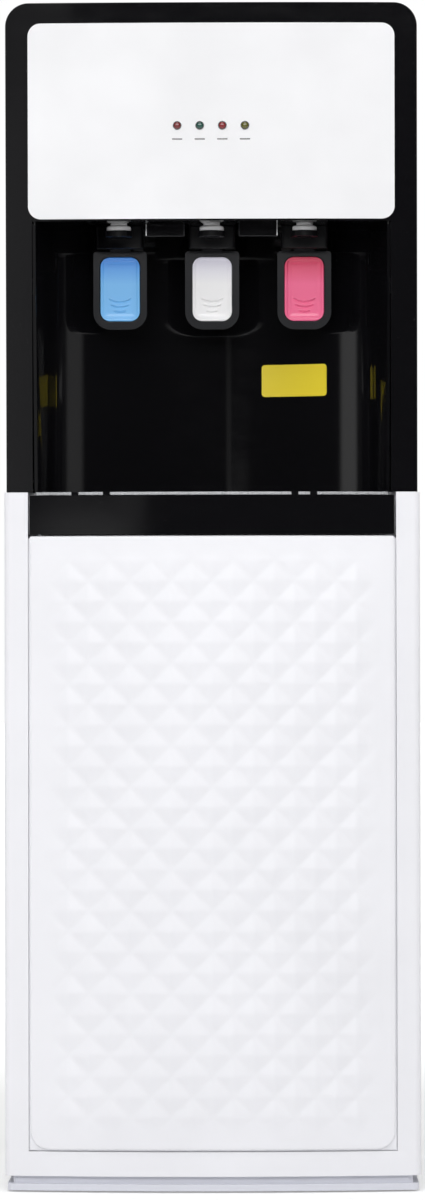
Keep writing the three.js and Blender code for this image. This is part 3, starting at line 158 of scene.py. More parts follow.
# High-gloss plastic: near mirror, with the long soft waves of a moulding and a little dust.
def glossPlastic(name, colour, rough=0.07, dust=0.02):
    material, tree, shader, place = newFinish(name)
    tone = cloudy(tree, place, 14, 2, shade(colour, 0.96), shade(colour, 1.02))
    specks = span(tree, noise(tree, place, 700, 1), 0, 1, 0.74, 0.8)
    swirl = noise(tree, objectPlace(tree, (1, 1, 3)), 35, 5, 0.65)
    feedNode(tree, shader, {
        "Base Color": blendColours(tree, specks, tone, tuple(c + dust for c in colour)),
        "Roughness": span(tree, swirl, rough * 0.8, rough * 1.5), "Coat Weight": 0.4, "Coat Roughness": 0.03})
    addBump(tree, noise(tree, place, 11, 1), shader, 0.5, 0.00006)
    return material


# Gloss plastic that goes from one colour at the bottom to another at the top, over a height in the shared frame. The
# darker top colour is painted shade.
def glossWithPaintedShade(name, below, above, heights):
    material, tree, shader, place = newFinish(name)
    split = addNode(tree, "ShaderNodeSeparateXYZ", {0: place}).outputs
    feedNode(tree, shader, {"Base Color": blendColours(tree, span(tree, split["Z"], 0, 1, *heights), below, above),
                            "Roughness": 0.27, "Coat Weight": 0.15, "Coat Roughness": 0.03})
    return material


# Powder-coated sheet steel: orange peel under an even gloss.
def coatedSteel(name, colour, rough=0.4, peel=420, peelDepth=0.00003):
    return textured(name, colour, (0.975, 1.01), (5, 2), ((1, 1, 1), 40, 4, 0.6), (rough * 0.9, rough * 1.12),
                    (peel, 0.4, peelDepth), {"Coat Weight": 0.15, "Coat Roughness": 0.15})


# Bare metal: drawn or brushed one way, with uneven streaks.
def bareMetal(name, colour, rough, streak=(1, 60, 1), tarnish=0.12):
    return textured(name, colour, (1 - tarnish, 1), (22, 3), (streak, 40, 6, 0.7), (rough * 0.7, rough * 1.4),
                    (None, 0.25, 0.00003), {"Metallic": 1})


# Matt rubber, a little chalky on its high spots.
def blackRubber(name, colour):
    return textured(name, colour, (1, 1.9), (90, 4), ((1, 1, 1), 90, 4), (0.7, 0.9), (900, 0.5, 0.00004), {})


# Milky plastic that lets some light through.
def milkyPlastic(name, colour, through):
    return textured(name, colour, (0.94, 1), (60, 2), ((1, 1, 1), 60), (0.198, 0.264), (500, 0.2, 0.00002), {
        "Transmission Weight": through, "Subsurface Weight": 0.3, "Subsurface Scale": 0.003,
        "Subsurface Radius": (1, 1, 1)})


white = (0.84, 0.84, 0.875)
panelWhite = (0.85, 0.85, 0.866)
black = (0.0035, 0.0034, 0.0042)
# The pads' painted shade: their colour darkens over this height towards the top, standing in for the overhang's
# shadow.
padLow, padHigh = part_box("paddle_pad_room")
padPaintedShadeHeights = (0.42 * padLow.z + 0.58 * padHigh.z, padHigh.z)      # the pads darken over this height

finishes = {
    "white_plastic": mouldedPlastic("satinWhitePlastic", white, 0.44),
    "white_steel": coatedSteel("whiteCoatedSteel", white),
    "back_steel": coatedSteel("blackCoatedSteel", (0.012, 0.012, 0.013), 0.5),
    # The plinth is really white plastic. This bluish grey is painted shade for the recess under the rail.
    "plinth_white": mouldedPlastic("plinthPlastic", (0.69, 0.7, 0.765), 0.4),
    "bay_plastic": mouldedPlastic("plainWhitePlastic", (0.76, 0.76, 0.78), 0.45),
    "zinc_steel": bareMetal("zincPlate", (0.56, 0.57, 0.6), 0.38),
    "grille_steel": bareMetal("brushedGrille", (0.62, 0.63, 0.65), 0.28, (60, 1, 1)),
    "tank_steel": bareMetal("tankSteel", (0.6, 0.61, 0.63), 0.26, (1, 1, 30)),
    "rubber": blackRubber("footRubber", (0.018, 0.018, 0.019)),
    "gloss_black": glossPlastic("glossBlackPlastic", black),
    "gloss_white": glossPlastic("glossWhitePlastic", panelWhite, 0.1, dust=0.0),
    "black_steel": coatedSteel("glossBlackSteel", (0.006, 0.006, 0.007), 0.3, 420, 0.000006),
    "tap_black": mouldedPlastic("tapBlackPlastic", (0.004, 0.004, 0.0048), 0.4, shine=0.12),
    "nozzle": milkyPlastic("milkyNozzle", (0.97, 0.96, 0.98), 0.03),
    "paddle_grey": mouldedPlastic("darkGreyPlastic", (0.0115, 0.012, 0.0145), 0.2, shine=0.35),
    # Each pad runs from its lighter colour below to a darker one above. This is painted shade from the head's
    # overhang.
    "pad_blue": glossWithPaintedShade("padBlue", (0.2, 0.54, 0.97), (0.054, 0.28, 0.86), padPaintedShadeHeights),
    "pad_white": glossWithPaintedShade("padWhite", (0.975, 0.97, 0.98), (0.76, 0.74, 0.87), padPaintedShadeHeights),
    "pad_red": glossWithPaintedShade("padRed", (0.96, 0.145, 0.31), (0.69, 0.032, 0.092), padPaintedShadeHeights),
    "lamp_dark_red": glossPlastic("lampDarkRed", (0.15, 0.012, 0.014), 0.12, dust=0.0),
    "lamp_green": glossPlastic("lampGreen", (0.005, 0.06, 0.045), 0.12, dust=0.0),
    "lamp_red": glossPlastic("lampRed", (0.2, 0.006, 0.01), 0.12, dust=0.0),
    "lamp_yellow": glossPlastic("lampYellow", (0.09, 0.085, 0.006), 0.12, dust=0.0),
    "circuit_board": mouldedPlastic("boardGreen", (0.01, 0.09, 0.04), 0.4),
    "compressor_black": coatedSteel("compressorEnamel", (0.01, 0.01, 0.011), 0.35, 260),
    "copper": bareMetal("copperTube", (0.72, 0.34, 0.2), 0.24, (20, 20, 1), tarnish=0.3),
    "hose": milkyPlastic("siliconeHose", (0.7, 0.72, 0.74), 0.3),
    "switch_red": glossPlastic("rockerRed", (0.45, 0.015, 0.018), 0.2, dust=0.0),
    "switch_green": glossPlastic("rockerGreen", (0.01, 0.26, 0.07), 0.2, dust=0.0),
    "condenser_black": coatedSteel("condenserPaint", (0.01, 0.01, 0.011), 0.4),
}
for name, node in nodes.items():
    node.data.materials.clear()
    node.data.materials.append(finishes[slotOf[name]])
print("finishes", len(finishes))


# ---- studio ----

studio = {
    "floorNear": 6.0, "floorFar": 40.0, "floorTone": 0.8,
    "nearLift": 0.3, "farLift": 0.85, "liftFrom": (0.9, 3.0),        # the floor's own glow, and where it rises
    "skyGlow": 0.31, "ahead": 0.015, "behindFrom": (-0.3, 0.25), "aheadTo": (-0.6, -0.3),
    "card": 0.42, "cardSides": (-0.34, -0.24, -0.19, -0.1), "cardTop": 0.0325, "softTop": 0.006,
    "borderGlow": 0.15, "borderSides": (-0.165, -0.15, -0.13, -0.11), "borderTop": (0.05, 0.07),
    "sideCards": (0.57, 0.3), "sideAcross": (-0.5, 0.5), "sideEdges": (-0.46, -0.41, -0.31, -0.27),
}


def combine(tree, operation, first, second):
    return addNode(tree, "ShaderNodeMath", {0: first, 1: second}, operation=operation).outputs[0]


def mixShaders(tree, share, first, second):
    return addNode(tree, "ShaderNodeMixShader", {0: share, 1: first, 2: second}).outputs[0]


# Which rays see gloss, and which are from the camera or have gone through something.
def seenRays(tree):
    path = addNode(tree, "ShaderNodeLightPath").outputs
    seen = combine(tree, "MAXIMUM", path["Is Camera Ray"], path["Is Transmission Ray"])
    return path["Is Glossy Ray"], seen


def makeFloor(plan):
    mesh = bpy.data.meshes.new("studioFloor")
    near, far = plan["floorNear"], plan["floorFar"]
    mesh.from_pydata([(-far, -near, 0), (far, -near, 0), (far, far, 0), (-far, far, 0)], [], [(0, 1, 2, 3)])
    floor = bpy.data.objects.new("studioFloor", mesh)
    bpy.context.scene.collection.objects.link(floor)
    material = bpy.data.materials.new("paleFloor")
    material.use_nodes = True
    tree = material.node_tree
    tree.nodes.clear()
    diffuse = addNode(tree, "ShaderNodeBsdfDiffuse", {"Color": (plan["floorTone"],) * 3 + (1,)}).outputs[0]
    place = addNode(tree, "ShaderNodeTexCoord").outputs["Object"]
    away = addNode(tree, "ShaderNodeVectorMath", {0: place}, operation="LENGTH").outputs["Value"]
    lift = span(tree, away, plan["nearLift"], plan["farLift"], *plan["liftFrom"])
    glow = addNode(tree, "ShaderNodeEmission", {"Strength": lift}).outputs[0]
    total = addNode(tree, "ShaderNodeAddShader", {0: diffuse, 1: glow}).outputs[0]
    glossy, seen = seenRays(tree)
    shown = mixShaders(tree, combine(tree, "MAXIMUM", seen, glossy), diffuse, total)
    addNode(tree, "ShaderNodeOutputMaterial", {"Surface": shown})
    mesh.materials.append(material)


# The world: white to the camera. Gloss sees white behind the cooler and next to nothing ahead of it, apart from a
# low soft card and a dim one above it on the left, and an upright one at each side that the alcove's corners show.
def makeSky(plan):
    world = bpy.data.worlds.new("studioSky")
    bpy.context.scene.world = world
    world.use_nodes = True
    tree = world.node_tree
    tree.nodes.clear()
    glossy, seen = seenRays(tree)
    place = addNode(tree, "ShaderNodeTexCoord").outputs["Generated"]
    split = addNode(tree, "ShaderNodeSeparateXYZ", {0: place}).outputs
    x, y, z = split["X"], split["Y"], split["Z"]

    def step(value, low, high, fromLow, fromHigh):
        result = span(tree, value, low, high, fromLow, fromHigh)
        result.node.interpolation_type = "SMOOTHSTEP"
        return result

    def times(first, *others):
        for other in others:
            first = combine(tree, "MULTIPLY", first, other)
        return first

    def plus(first, second):
        return combine(tree, "ADD", first, second)

    # 1 between the two inner edges, fading to 0 at the outer ones.
    def band(value, outerLow, innerLow, innerHigh, outerHigh):
        return times(step(value, 1, 0, innerHigh, outerHigh), step(value, 0, 1, outerLow, innerLow))

    top, soft = plan["cardTop"], plan["softTop"]
    behind = step(y, plan["ahead"], 1, *plan["behindFrom"])
    card = times(band(x, *plan["cardSides"]), step(z, plan["card"], 0, top - soft, top))
    border = times(band(x, *plan["borderSides"]), step(z, 0, plan["borderGlow"], top - soft, top),
                   step(z, 1, 0, *plan["borderTop"]))
    sides = times(band(y, *plan["sideEdges"]), step(x, *plan["sideCards"], *plan["sideAcross"]))
    total = plus(plus(behind, sides), times(plus(card, border), step(y, 1, 0, *plan["aheadTo"])))

    def background(strength):
        return addNode(tree, "ShaderNodeBackground", {"Color": (1, 1, 1, 1), "Strength": strength}).outputs[0]

    unseen = mixShaders(tree, glossy, background(plan["skyGlow"]), background(total))
    addNode(tree, "ShaderNodeOutputWorld", {"Surface": mixShaders(tree, seen, unseen, background(1))})


lampAim = Vector((0, 0, 0.55))
lamps = {
    "frontBox": ((-0.1, -3.6, 1.95), (2.8, 1.2), 58),          # place, size, power
    "topBox": ((-0.15, -2.0, 3.4), (2.0, 1.4), 33),
    "leftBox": ((-3.2, -1.25, 1.1), (0.8, 1.7), 20),
    "rightBox": ((3.2, -1.15, 1.1), (0.5, 1.7), 16),
    "rearLeft": ((-1.8, 2.6, 1.8), (1.2, 1.6), 22),
    "rearRight": ((1.8, 2.6, 1.8), (1.2, 1.6), 22),
}


def makeLamp(name, place, size, power):
    data = bpy.data.lights.new(name, "AREA")
    data.shape = "RECTANGLE"
    data.size, data.size_y = size
    data.energy = power
    lamp = bpy.data.objects.new(name, data)
    lamp.rotation_euler = (lampAim - Vector(place)).to_track_quat("-Z", "Y").to_euler()
    lamp.location = place
    lamp.visible_glossy = name in ("frontBox", "topBox")
    bpy.context.scene.collection.objects.link(lamp)


makeFloor(studio)
makeSky(studio)
for name, plan in lamps.items():
    makeLamp(name, *plan)
print("studio lit")


# ---- mesh tools ----

# Adds a piece that rides a node's body. It may take the place of nodes.
def newPiece(name, mesh, node, slot, *replaced):
    piece = bpy.data.objects.new(name, mesh)
    bpy.context.scene.collection.objects.link(piece)
    mesh.materials.clear()
    mesh.materials.append(finishes[slot])
    if replaced:
        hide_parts(*replaced)
    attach(piece, bodyOf[node])
    return piece


# Adds a piece in the place of a node, with the node's slot.
def standIn(name, mesh, node):
    return newPiece(name, mesh, node, slotOf[node], node)


def middleOf(node):
    low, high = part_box(node)
    return (low + high) / 2


# Runs one or more steps on a mesh in its editable form.
def reworked(mesh, *steps):
    work = bmesh.new()
    work.from_mesh(mesh)
    for step in steps:
        step(work)
    work.to_mesh(mesh)
    work.free()
    return mesh


def turnFaces(work):
    bmesh.ops.recalc_face_normals(work, faces=work.faces)


# Turns a mesh's faces outwards and shades it smooth up to an angle.
def turnedOut(mesh, smoothTo=35):
    reworked(mesh, turnFaces)
    mesh.shade_smooth()
    mesh.set_sharp_from_angle(angle=math.radians(smoothTo))
    return mesh


def meshFrom(name, vertices, faces):
    mesh = bpy.data.meshes.new(name)
    mesh.from_pydata(vertices, [], faces)
    return reworked(mesh, lambda work: bmesh.ops.remove_doubles(work, verts=work.verts, dist=1e-7), turnFaces)


def joinedMesh(name, *meshes):
    work = bmesh.new()
    for mesh in meshes:
        work.from_mesh(mesh)
    whole = bpy.data.meshes.new(name)
    work.to_mesh(whole)
    work.free()
    return whole


def holderFor(mesh):
    holder = bpy.data.objects.new("work", mesh)
    bpy.context.scene.collection.objects.link(holder)
    return holder


# The mesh that an object with modifiers ends up with. The object goes.
def applied(holder):
    depsgraph = bpy.context.evaluated_depsgraph_get()
    mesh = bpy.data.meshes.new_from_object(holder.evaluated_get(depsgraph))
    bpy.data.objects.remove(holder)
    return mesh


# The faces between two copies of an outline, one after the other among the vertices, and over both ends.
def prismFaces(n):
    ends = [list(range(n)), list(range(2 * n - 1, n - 1, -1))]
    return ends + [(k, (k + 1) % n, n + (k + 1) % n, n + k) for k in range(n)]


def extrudedUp(shape, low, high):
    vertices = [(x, y, z) for z in (low, high) for x, y in shape]
    return meshFrom("extruded", vertices, prismFaces(len(shape)))


# A grid's points run along its width first. Its rim goes once round, from the first point.
def gridFaces(wide, deep, first=0):
    corners = ((j * wide + i + first) for j in range(deep - 1) for i in range(wide - 1))
    return [(c, c + 1, c + wide + 1, c + wide) for c in corners]


def gridRim(wide, deep):
    rim = list(range(wide)) + [j * wide + wide - 1 for j in range(1, deep)]
    return rim + [(deep - 1) * wide + i for i in range(wide - 2, -1, -1)] + [j * wide for j in range(deep - 2, 0, -1)]


# The faces of a thin shell: two grids of points, one after the other, closed round their rims.
def shellFaces(wide, deep):
    rim, sheet = gridRim(wide, deep), wide * deep
    edges = [(a, b, sheet + b, sheet + a) for a, b in zip(rim, rim[1:] + rim[:1])]
    return gridFaces(wide, deep) + gridFaces(wide, deep, sheet) + edges


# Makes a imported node's arcs finer: cuts its facets through an arc's axis and moves the new points onto the arc.
# An arc is (axis, centre, radii, from, to, steps): angles in degrees round Y or Z, centre in metres.
def roundOut(work, arc):
    axis, centre, radii, start, end, steps = arc
    second = 1 if axis == "Z" else 2                 # the arc's plane is X and this one
    slack, nearFace, nearPoint, reach = 0.5, 0.08, 0.002, 1.12            # degrees, then shares of a radius
    under, over = 0.955, 1.0005

    def inPlane(across, other):
        point = Vector((across, 0, 0))
        point[second] = other
        return point

    def polar(point):
        across, other = point.x - centre[0], point[second] - centre[1]
        return math.hypot(across, other), math.degrees(math.atan2(other, across)) % 360

    def inArc(angle):
        return (angle - start + slack) % 360 <= end - start + 2 * slack

    # Whether a point is inside the arc's sector and near one of its radii.
    def near(point, share):
        distance, angle = polar(point)
        return inArc(angle) and any(abs(distance - radius) <= share * radius for radius in radii)

    for i in range(1, steps):
        angle = math.radians(start + (end - start) * i / steps)
        faces = [f for f in work.faces
                 if near(f.calc_center_median(), nearFace) or any(near(v.co, nearPoint) for v in f.verts)]
        faces = [f for f in faces if all(polar(v.co)[0] < reach * max(radii) for v in f.verts)] or faces
        parts = set(faces) | {e for f in faces for e in f.edges} | {v for f in faces for v in f.verts}
        bmesh.ops.bisect_plane(work, geom=list(parts), plane_co=inPlane(centre[0], centre[1]),
                               plane_no=inPlane(-math.sin(angle), math.cos(angle)), dist=1e-6)
    for vertex in work.verts:
        distance, angle = polar(vertex.co)
        radius = next((r for r in sorted(radii) if r * under < distance < r * over), None)
        if radius and inArc(angle):
            for i, middle in ((0, centre[0]), (second, centre[1])):
                vertex.co[i] = middle + (vertex.co[i] - middle) * (radius / distance)


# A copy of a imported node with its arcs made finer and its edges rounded, as a moulding or pressing has them.
def softened(node, width, arcs=(), segments=2):
    flat, sharp = math.radians(0.4), math.radians(28)

    def clean(work):
        bmesh.ops.remove_doubles(work, verts=work.verts, dist=2e-6)
        bmesh.ops.dissolve_limit(work, angle_limit=flat, verts=work.verts, edges=work.edges)
        for arc in arcs:
            roundOut(work, arc)

    mesh = reworked(nodes[node].data.copy(), clean)
    holder = holderFor(mesh)
    bevel = holder.modifiers.new("roundEdges", "BEVEL")
    bevel.width = width * mm
    bevel.segments = segments
    bevel.limit_method = "ANGLE"
    bevel.angle_limit = sharp
    holder.modifiers.new("weighNormals", "WEIGHTED_NORMAL").weight = 100
    mesh.shade_smooth()
    return standIn(node + ".fine", applied(holder), node)


# ---- geometry node tools ----

class Recipe:
    def __init__(self, name, sizes):
        self.tree = bpy.data.node_groups.new(name, "GeometryNodeTree")
        self.tree.interface.new_socket("Geometry", in_out="INPUT", socket_type="NodeSocketGeometry")
        for size in sizes:
            self.tree.interface.new_socket(size, in_out="INPUT", socket_type="NodeSocketFloat")
        self.tree.interface.new_socket("Geometry", in_out="OUTPUT", socket_type="NodeSocketGeometry")
        self.given = self.tree.nodes.new("NodeGroupInput").outputs
        self.result = self.tree.nodes.new("NodeGroupOutput").inputs[0]

    def node(self, kind, inputs=None, **settings):
        return addNode(self.tree, kind, inputs, **settings).outputs[0]

    def math(self, operation, *values):
        return self.node("ShaderNodeMath", dict(enumerate(values)), operation=operation)

    def vector(self, *values):
        return self.node("ShaderNodeCombineXYZ", dict(enumerate(values)))

    def finishWith(self, geometry, slot):
        solid = self.node("GeometryNodeRealizeInstances", {0: geometry})
        painted = self.node("GeometryNodeSetMaterial", {"Geometry": solid, "Material": finishes[slot]})
        self.tree.links.new(painted, self.result)

    def run(self, mesh, sizes):
        holder = holderFor(mesh)
        modifier = holder.modifiers.new(self.tree.name, "NODES")
        modifier.node_group = self.tree
        for item in self.tree.interface.items_tree:
            if item.in_out == "INPUT" and item.name in sizes:
                modifier[item.identifier] = float(sizes[item.name])
        holder.update_tag()
        return applied(holder)


# ---- door ----

doorLow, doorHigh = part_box("door_skin")
cabinetHalf = 178 * mm
door = {
    "pitch": 17.6 * mm,          # half the pyramids' spacing
    "height": 2.2 * mm,
    "firstRow": doorHigh.z - 20.9 * mm,
    "margin": 0.9,               # in pitches, from the door's edge to the border of the relief
    "fade": (-0.4, 1.1),         # in pitches, from that border: where the relief starts to rise and is full
    "corner": 17.5 * mm,
    "topCorner": 2.5 * mm,
    "edge": 2.0 * mm,
    "webBehind": 4.5 * mm,       # from the pyramids' tips to the webs at the lower corners
    "bowRise": 14 * mm,
    "fineness": 8,               # mesh steps in a pitch
}


# How far back the bowed front lies at a place across, from its middle.
def bowBack(x):
    rise = door["bowRise"]
    radius = (cabinetHalf ** 2 + rise ** 2) / (2 * rise)
    return radius - math.sqrt(radius ** 2 - x ** 2)


# Places along one side: a regular run, drawn closer at both ends for the rounded edge.
def edgedRun(low, high, start, step, edge):
    close = [edge * (1 - math.cos(math.radians(a))) for a in (0, 22, 45, 67, 90)]
    first = math.ceil((low + edge * 1.4 - start) / step)
    last = math.floor((high - edge * 1.4 - start) / step)
    middle = [start + i * step for i in range(first, last + 1)]
    return [low + c for c in close] + middle + [high - c for c in reversed(close)]


# Moves the corners of a rectangle's grid in onto arcs.
def roundedPlace(x, z, low, high, radii):
    for side, level, radius in radii:
        cornerX = high[0] if side > 0 else low[0]
        cornerZ = high[1] if level > 0 else low[1]
        a = 1 - (cornerX - x) * side / radius
        b = 1 - (cornerZ - z) * level / radius
        if a > 0 and b > 0:
            dx, dz = a * math.sqrt(1 - b * b / 2), b * math.sqrt(1 - a * a / 2)
            return cornerX - side * radius * (1 - dx), cornerZ - level * radius * (1 - dz)
    return x, z


def edgeDip(x, z, low, high, edge):
    gap = min(x - low[0], high[0] - x, z - low[1], high[1] - z)
    return 0 if gap >= edge else edge - math.sqrt(edge ** 2 - (edge - gap) ** 2)


# Raises the door's pyramids. A tip stands where both diagonals, counted in rows, are whole numbers.
def doorRelief(plan):
    recipe = Recipe("doorRelief", ["pitch", "height", "firstRow", "halfWidth", "top", "bottom", "margin"])
    given, calc = recipe.given, recipe.math
    place = recipe.node("GeometryNodeInputPosition")
    split = addNode(recipe.tree, "ShaderNodeSeparateXYZ", {0: place}).outputs
    x, z, pitch = split["X"], split["Z"], given["pitch"]
    across = calc("DIVIDE", x, pitch)
    up = calc("DIVIDE", calc("SUBTRACT", z, given["firstRow"]), pitch)
    offsets = []
    for operation in ("ADD", "SUBTRACT"):
        diagonal = calc("MULTIPLY", calc(operation, across, up), 0.5)
        offsets.append(calc("ABSOLUTE", calc("SUBTRACT", diagonal, calc("ROUND", diagonal))))
    share = calc("SUBTRACT", 1.0, calc("MULTIPLY", calc("MAXIMUM", *offsets), 2.0))
    border = calc("MULTIPLY", given["margin"], pitch)
    low, high = (calc("MULTIPLY", pitch, part) for part in plan["fade"])
    for distance in (calc("SUBTRACT", given["halfWidth"], calc("ABSOLUTE", x)),
                     calc("SUBTRACT", given["top"], z), calc("SUBTRACT", z, given["bottom"])):
        inputs = {"Value": calc("SUBTRACT", distance, border), "From Min": low, "From Max": high}
        fade = recipe.node("ShaderNodeMapRange", inputs, interpolation_type="SMOOTHSTEP")
        share = calc("MULTIPLY", share, fade)
    lift = recipe.vector(0.0, calc("MULTIPLY", calc("MULTIPLY", share, given["height"]), -1.0), 0.0)
    isFace = recipe.node("GeometryNodeInputNamedAttribute", {"Name": "face"}, data_type="BOOLEAN")
    inputs = {"Geometry": given["Geometry"], "Selection": isFace, "Offset": lift}
    recipe.finishWith(recipe.node("GeometryNodeSetPosition", inputs), "white_plastic")
    return recipe


# A block whose front is a fine grid with rounded corners and edge; its back is flat. The front's points are marked
# "face". forward(x, z) lifts the face; back(x) is how far a bowed face lies behind its middle.
def facedBlock(low, high, radii, edge, xStart, zStart, step, frontY, backY, forward=lambda x, z: 0, back=lambda x: 0):
    xs = edgedRun(low[0], high[0], xStart, step, edge)
    zs = edgedRun(low[1], high[1], zStart, step, edge)
    vertices = []
    for z in zs:
        for x in xs:
            newX, newZ = roundedPlace(x, z, low, high, radii)
            depth = edgeDip(x, z, low, high, edge) - forward(x, z)
            vertices.append((newX, frontY + back(newX) + depth, newZ))
    faces, rim, onFace = gridFaces(len(xs), len(zs)), gridRim(len(xs), len(zs)), len(vertices)
    vertices += [(vertices[index][0], backY, vertices[index][2]) for index in rim]
    count = len(rim)
    faces += [(rim[k], onFace + k, onFace + (k + 1) % count, rim[(k + 1) % count]) for k in range(count)]
    faces.append(list(range(onFace + count - 1, onFace - 1, -1)))
    mesh = bpy.data.meshes.new("facedBlock")
    mesh.from_pydata(vertices, [], faces)
    marks = mesh.attributes.new("face", "BOOLEAN", "POINT")
    marks.data.foreach_set("value", [i < onFace for i in range(len(vertices))])
    return mesh


# The web beside a rounded lower corner of the door, level with the frame's front.
def cornerWeb(side, plan):
    reach, blunt, steps = plan["corner"], 1 * mm, 10
    inner = reach - 0.4 * mm                     # the web reaches a little way under the door's edge
    turns = [math.radians(90 * i / steps) for i in range(steps + 1)]
    inwards = [(0, reach + blunt), (0, blunt), (0.3 * blunt, 0.3 * blunt), (blunt, 0), (reach + blunt, 0)]
    inwards += [(reach - inner * math.sin(a), reach - inner * math.cos(a)) for a in turns]
    points = [(side * (doorHigh.x - along), doorLow.z + up) for along, up in inwards]
    frontY = doorLow.y + plan["webBehind"]
    vertices = [(x, frontY + bowBack(x), z) for x, z in points] + [(x, doorHigh.y, z) for x, z in points]
    return meshFrom("doorWeb", vertices, prismFaces(len(points)))


def makeDoor(plan):
    low, high = (doorLow.x, doorLow.z), (doorHigh.x, doorHigh.z)
    radii = [(side, level, plan[corner]) for level, corner in ((-1, "corner"), (1, "topCorner")) for side in (-1, 1)]
    mesh = facedBlock(low, high, radii, plan["edge"], 0, plan["firstRow"], plan["pitch"] / plan["fineness"],
                      doorLow.y + plan["height"], doorHigh.y, back=bowBack)
    mesh = doorRelief(plan).run(mesh, {**plan, "halfWidth": high[0], "top": high[1], "bottom": low[1]})
    mesh = joinedMesh("embossedDoor", mesh, cornerWeb(-1, plan), cornerWeb(1, plan))
    standIn("embossedDoor", turnedOut(mesh, 40), "door_skin")


# A narrow lip round the door's sides and bottom, which closes most of the gap to the frame.
def makeDoorLip(reach, thick):
    left, right = doorLow.x - reach, doorHigh.x + reach
    inner, below, steps = 1 * mm, 2 * mm, 40          # how far the lip laps the door and stops below its top
    front, back = -165.6 * mm, -161.8 * mm
    strips = []
    for x, turn in ((left, 1), (right, -1)):
        far = x + turn * (reach + inner)
        shape = [(x, front), (far, front), (far, back), (x, back)]
        strips.append(extrudedUp(shape, doorLow.z + inner, doorHigh.z - below))
    places = [left + (right - left) * i / steps for i in range(steps + 1)]
    line = [(x, doorLow.y + door["webBehind"] + thick + bowBack(x)) for x in places]
    levels = (doorLow.z - reach, doorLow.z + inner)
    vertices = [(x, y, z) for z in levels for x, y in line]
    vertices += [(x, max(back, y + thick), z) for z in levels for x, y in line]
    strips.append(meshFrom("lipBottom", vertices, shellFaces(len(line), len(levels))))
    newPiece("doorLip", turnedOut(joinedMesh("doorLip", *strips)), "door_skin", "white_plastic")


makeDoor(door)
makeDoorLip(0.9 * mm, 1.5 * mm)
print("door made")


# ---- mouldings and sheets with finer arcs and rounded edges ----

# The arcs at a plate's corners. radii holds the corners' own radius first, then others about the same centres.
def cornerArcs(low, high, radii, steps, *levels):
    left, right, bottom, top = low.x + radii[0], high.x - radii[0], low.z + radii[0], high.z - radii[0]
    places = {"lower": ((180, left, bottom), (270, right, bottom)), "upper": ((0, right, top), (90, left, top))}
    return [("Y", (x, z), radii, start, start + 90, steps) for level in levels for start, x, z in places[level]]


headLow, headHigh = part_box("head_wrap")
headLean = 16 / 417.7            # how far the head's front leans back for its height
headArcs = cornerArcs(headLow, headHigh, [20 * mm, 17 * mm, 18.8 * mm], 18, "upper")
panelArcs = cornerArcs(*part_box("front_panel"), [11 * mm, 11.3 * mm], 15, "lower", "upper")

linerLow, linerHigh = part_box("alcove_liner")
alcove = {
    "half": 140 * mm,
    "rise": 54 * mm,
    "backY": -48.5 * mm,
    "wall": 2.5 * mm,
    "frontY": -174.1 * mm,       # where the lining ends, at the head's top
    "side": 80 * mm,
    "inset": 0.6 * mm,           # from the liner's wall to the lining's face
    "lining": 0.5 * mm,
    "roundBack": 6.51 * mm,      # how far an upright corner's rounding reaches along the back and the side
    "roundSide": 11.284 * mm,
}
alcoveRadius = (alcove["half"] ** 2 + alcove["rise"] ** 2) / (2 * alcove["rise"])
alcoveAxis = alcove["backY"] - alcoveRadius
alcoveReach = math.degrees(math.asin(alcove["half"] / alcoveRadius))
alcoveArc = ("Z", (0, alcoveAxis), [alcoveRadius, alcoveRadius + alcove["wall"]],
             90 - alcoveReach, 90 + alcoveReach, 48)

softened("head_front", 1.2, headArcs + panelArcs, 3)
softened("head_wrap", 0.4, headArcs)
softened("front_panel", 0.9, panelArcs, 3)
softened("alcove_liner", 0.5, [alcoveArc])


# A smooth lining over the alcove's faceted walls, with its two upright corners rounded.
def makeAlcoveWall(plan):
    radius, half, waistY = alcoveRadius - plan["inset"], plan["half"] - plan["inset"], plan["backY"] - plan["rise"]
    front = Vector((linerHigh.x - plan["wall"] - plan["inset"], waistY - plan["side"]))
    bend = Vector((half, waistY))
    along = (bend - front).normalized()              # the right wall, front to back
    arcFrom = math.asin((half - plan["roundBack"]) / radius)

    def onBack(angle):
        return Vector((radius * math.sin(angle), alcoveAxis + radius * math.cos(angle)))

    start, end = bend - along * plan["roundSide"], onBack(arcFrom)
    right = [front, start]
    right += [start * (1 - s) ** 2 + bend * 2 * s * (1 - s) + end * s ** 2 for s in (i / 8 for i in range(1, 9))]
    middle = [onBack(arcFrom * (1 - i / 32)) for i in range(1, 64)]
    path = right + middle + [Vector((-v.x, v.y)) for v in reversed(right)]
    levels = (linerLow.z + 0.2 * mm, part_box("tap_room")[1].z)
    last = len(path) - 1
    vertices = []
    for depth in (0, plan["lining"]):
        for z in levels:
            for i, v in enumerate(path):
                ahead = (path[min(i + 1, last)] - path[max(i - 1, 0)]).normalized()
                point = v + Vector((ahead.y, -ahead.x)) * depth
                if i in (0, last):
                    point.y = plan["frontY"] + headLean * (headHigh.z - z)
                vertices.append((point.x, point.y, z))
    mesh = turnedOut(meshFrom("alcoveWall", vertices, shellFaces(len(path), len(levels))), 40)
    newPiece("alcoveWall", mesh, "alcove_liner", "gloss_black")


makeAlcoveWall(alcove)

pads = {
    "edge": 0.9, "corner": 8.6, "fineness": 0.45,
    "rim": 1.6, "slope": 1.5, "dish": 0.75,            # the face sinks behind its rim
    "swell": 0.25, "swellAt": 4,                       # and rises a little again inside that
    "ribs": ((8.2, 9), (12.4, 15), (16.8, 18.5)),      # height above the pad's bottom, width
    "ribRadius": 17, "ribHeight": 1.15, "ribWidth": 0.45, "ribOver": 0.8, "ribFade": 1.4,
}


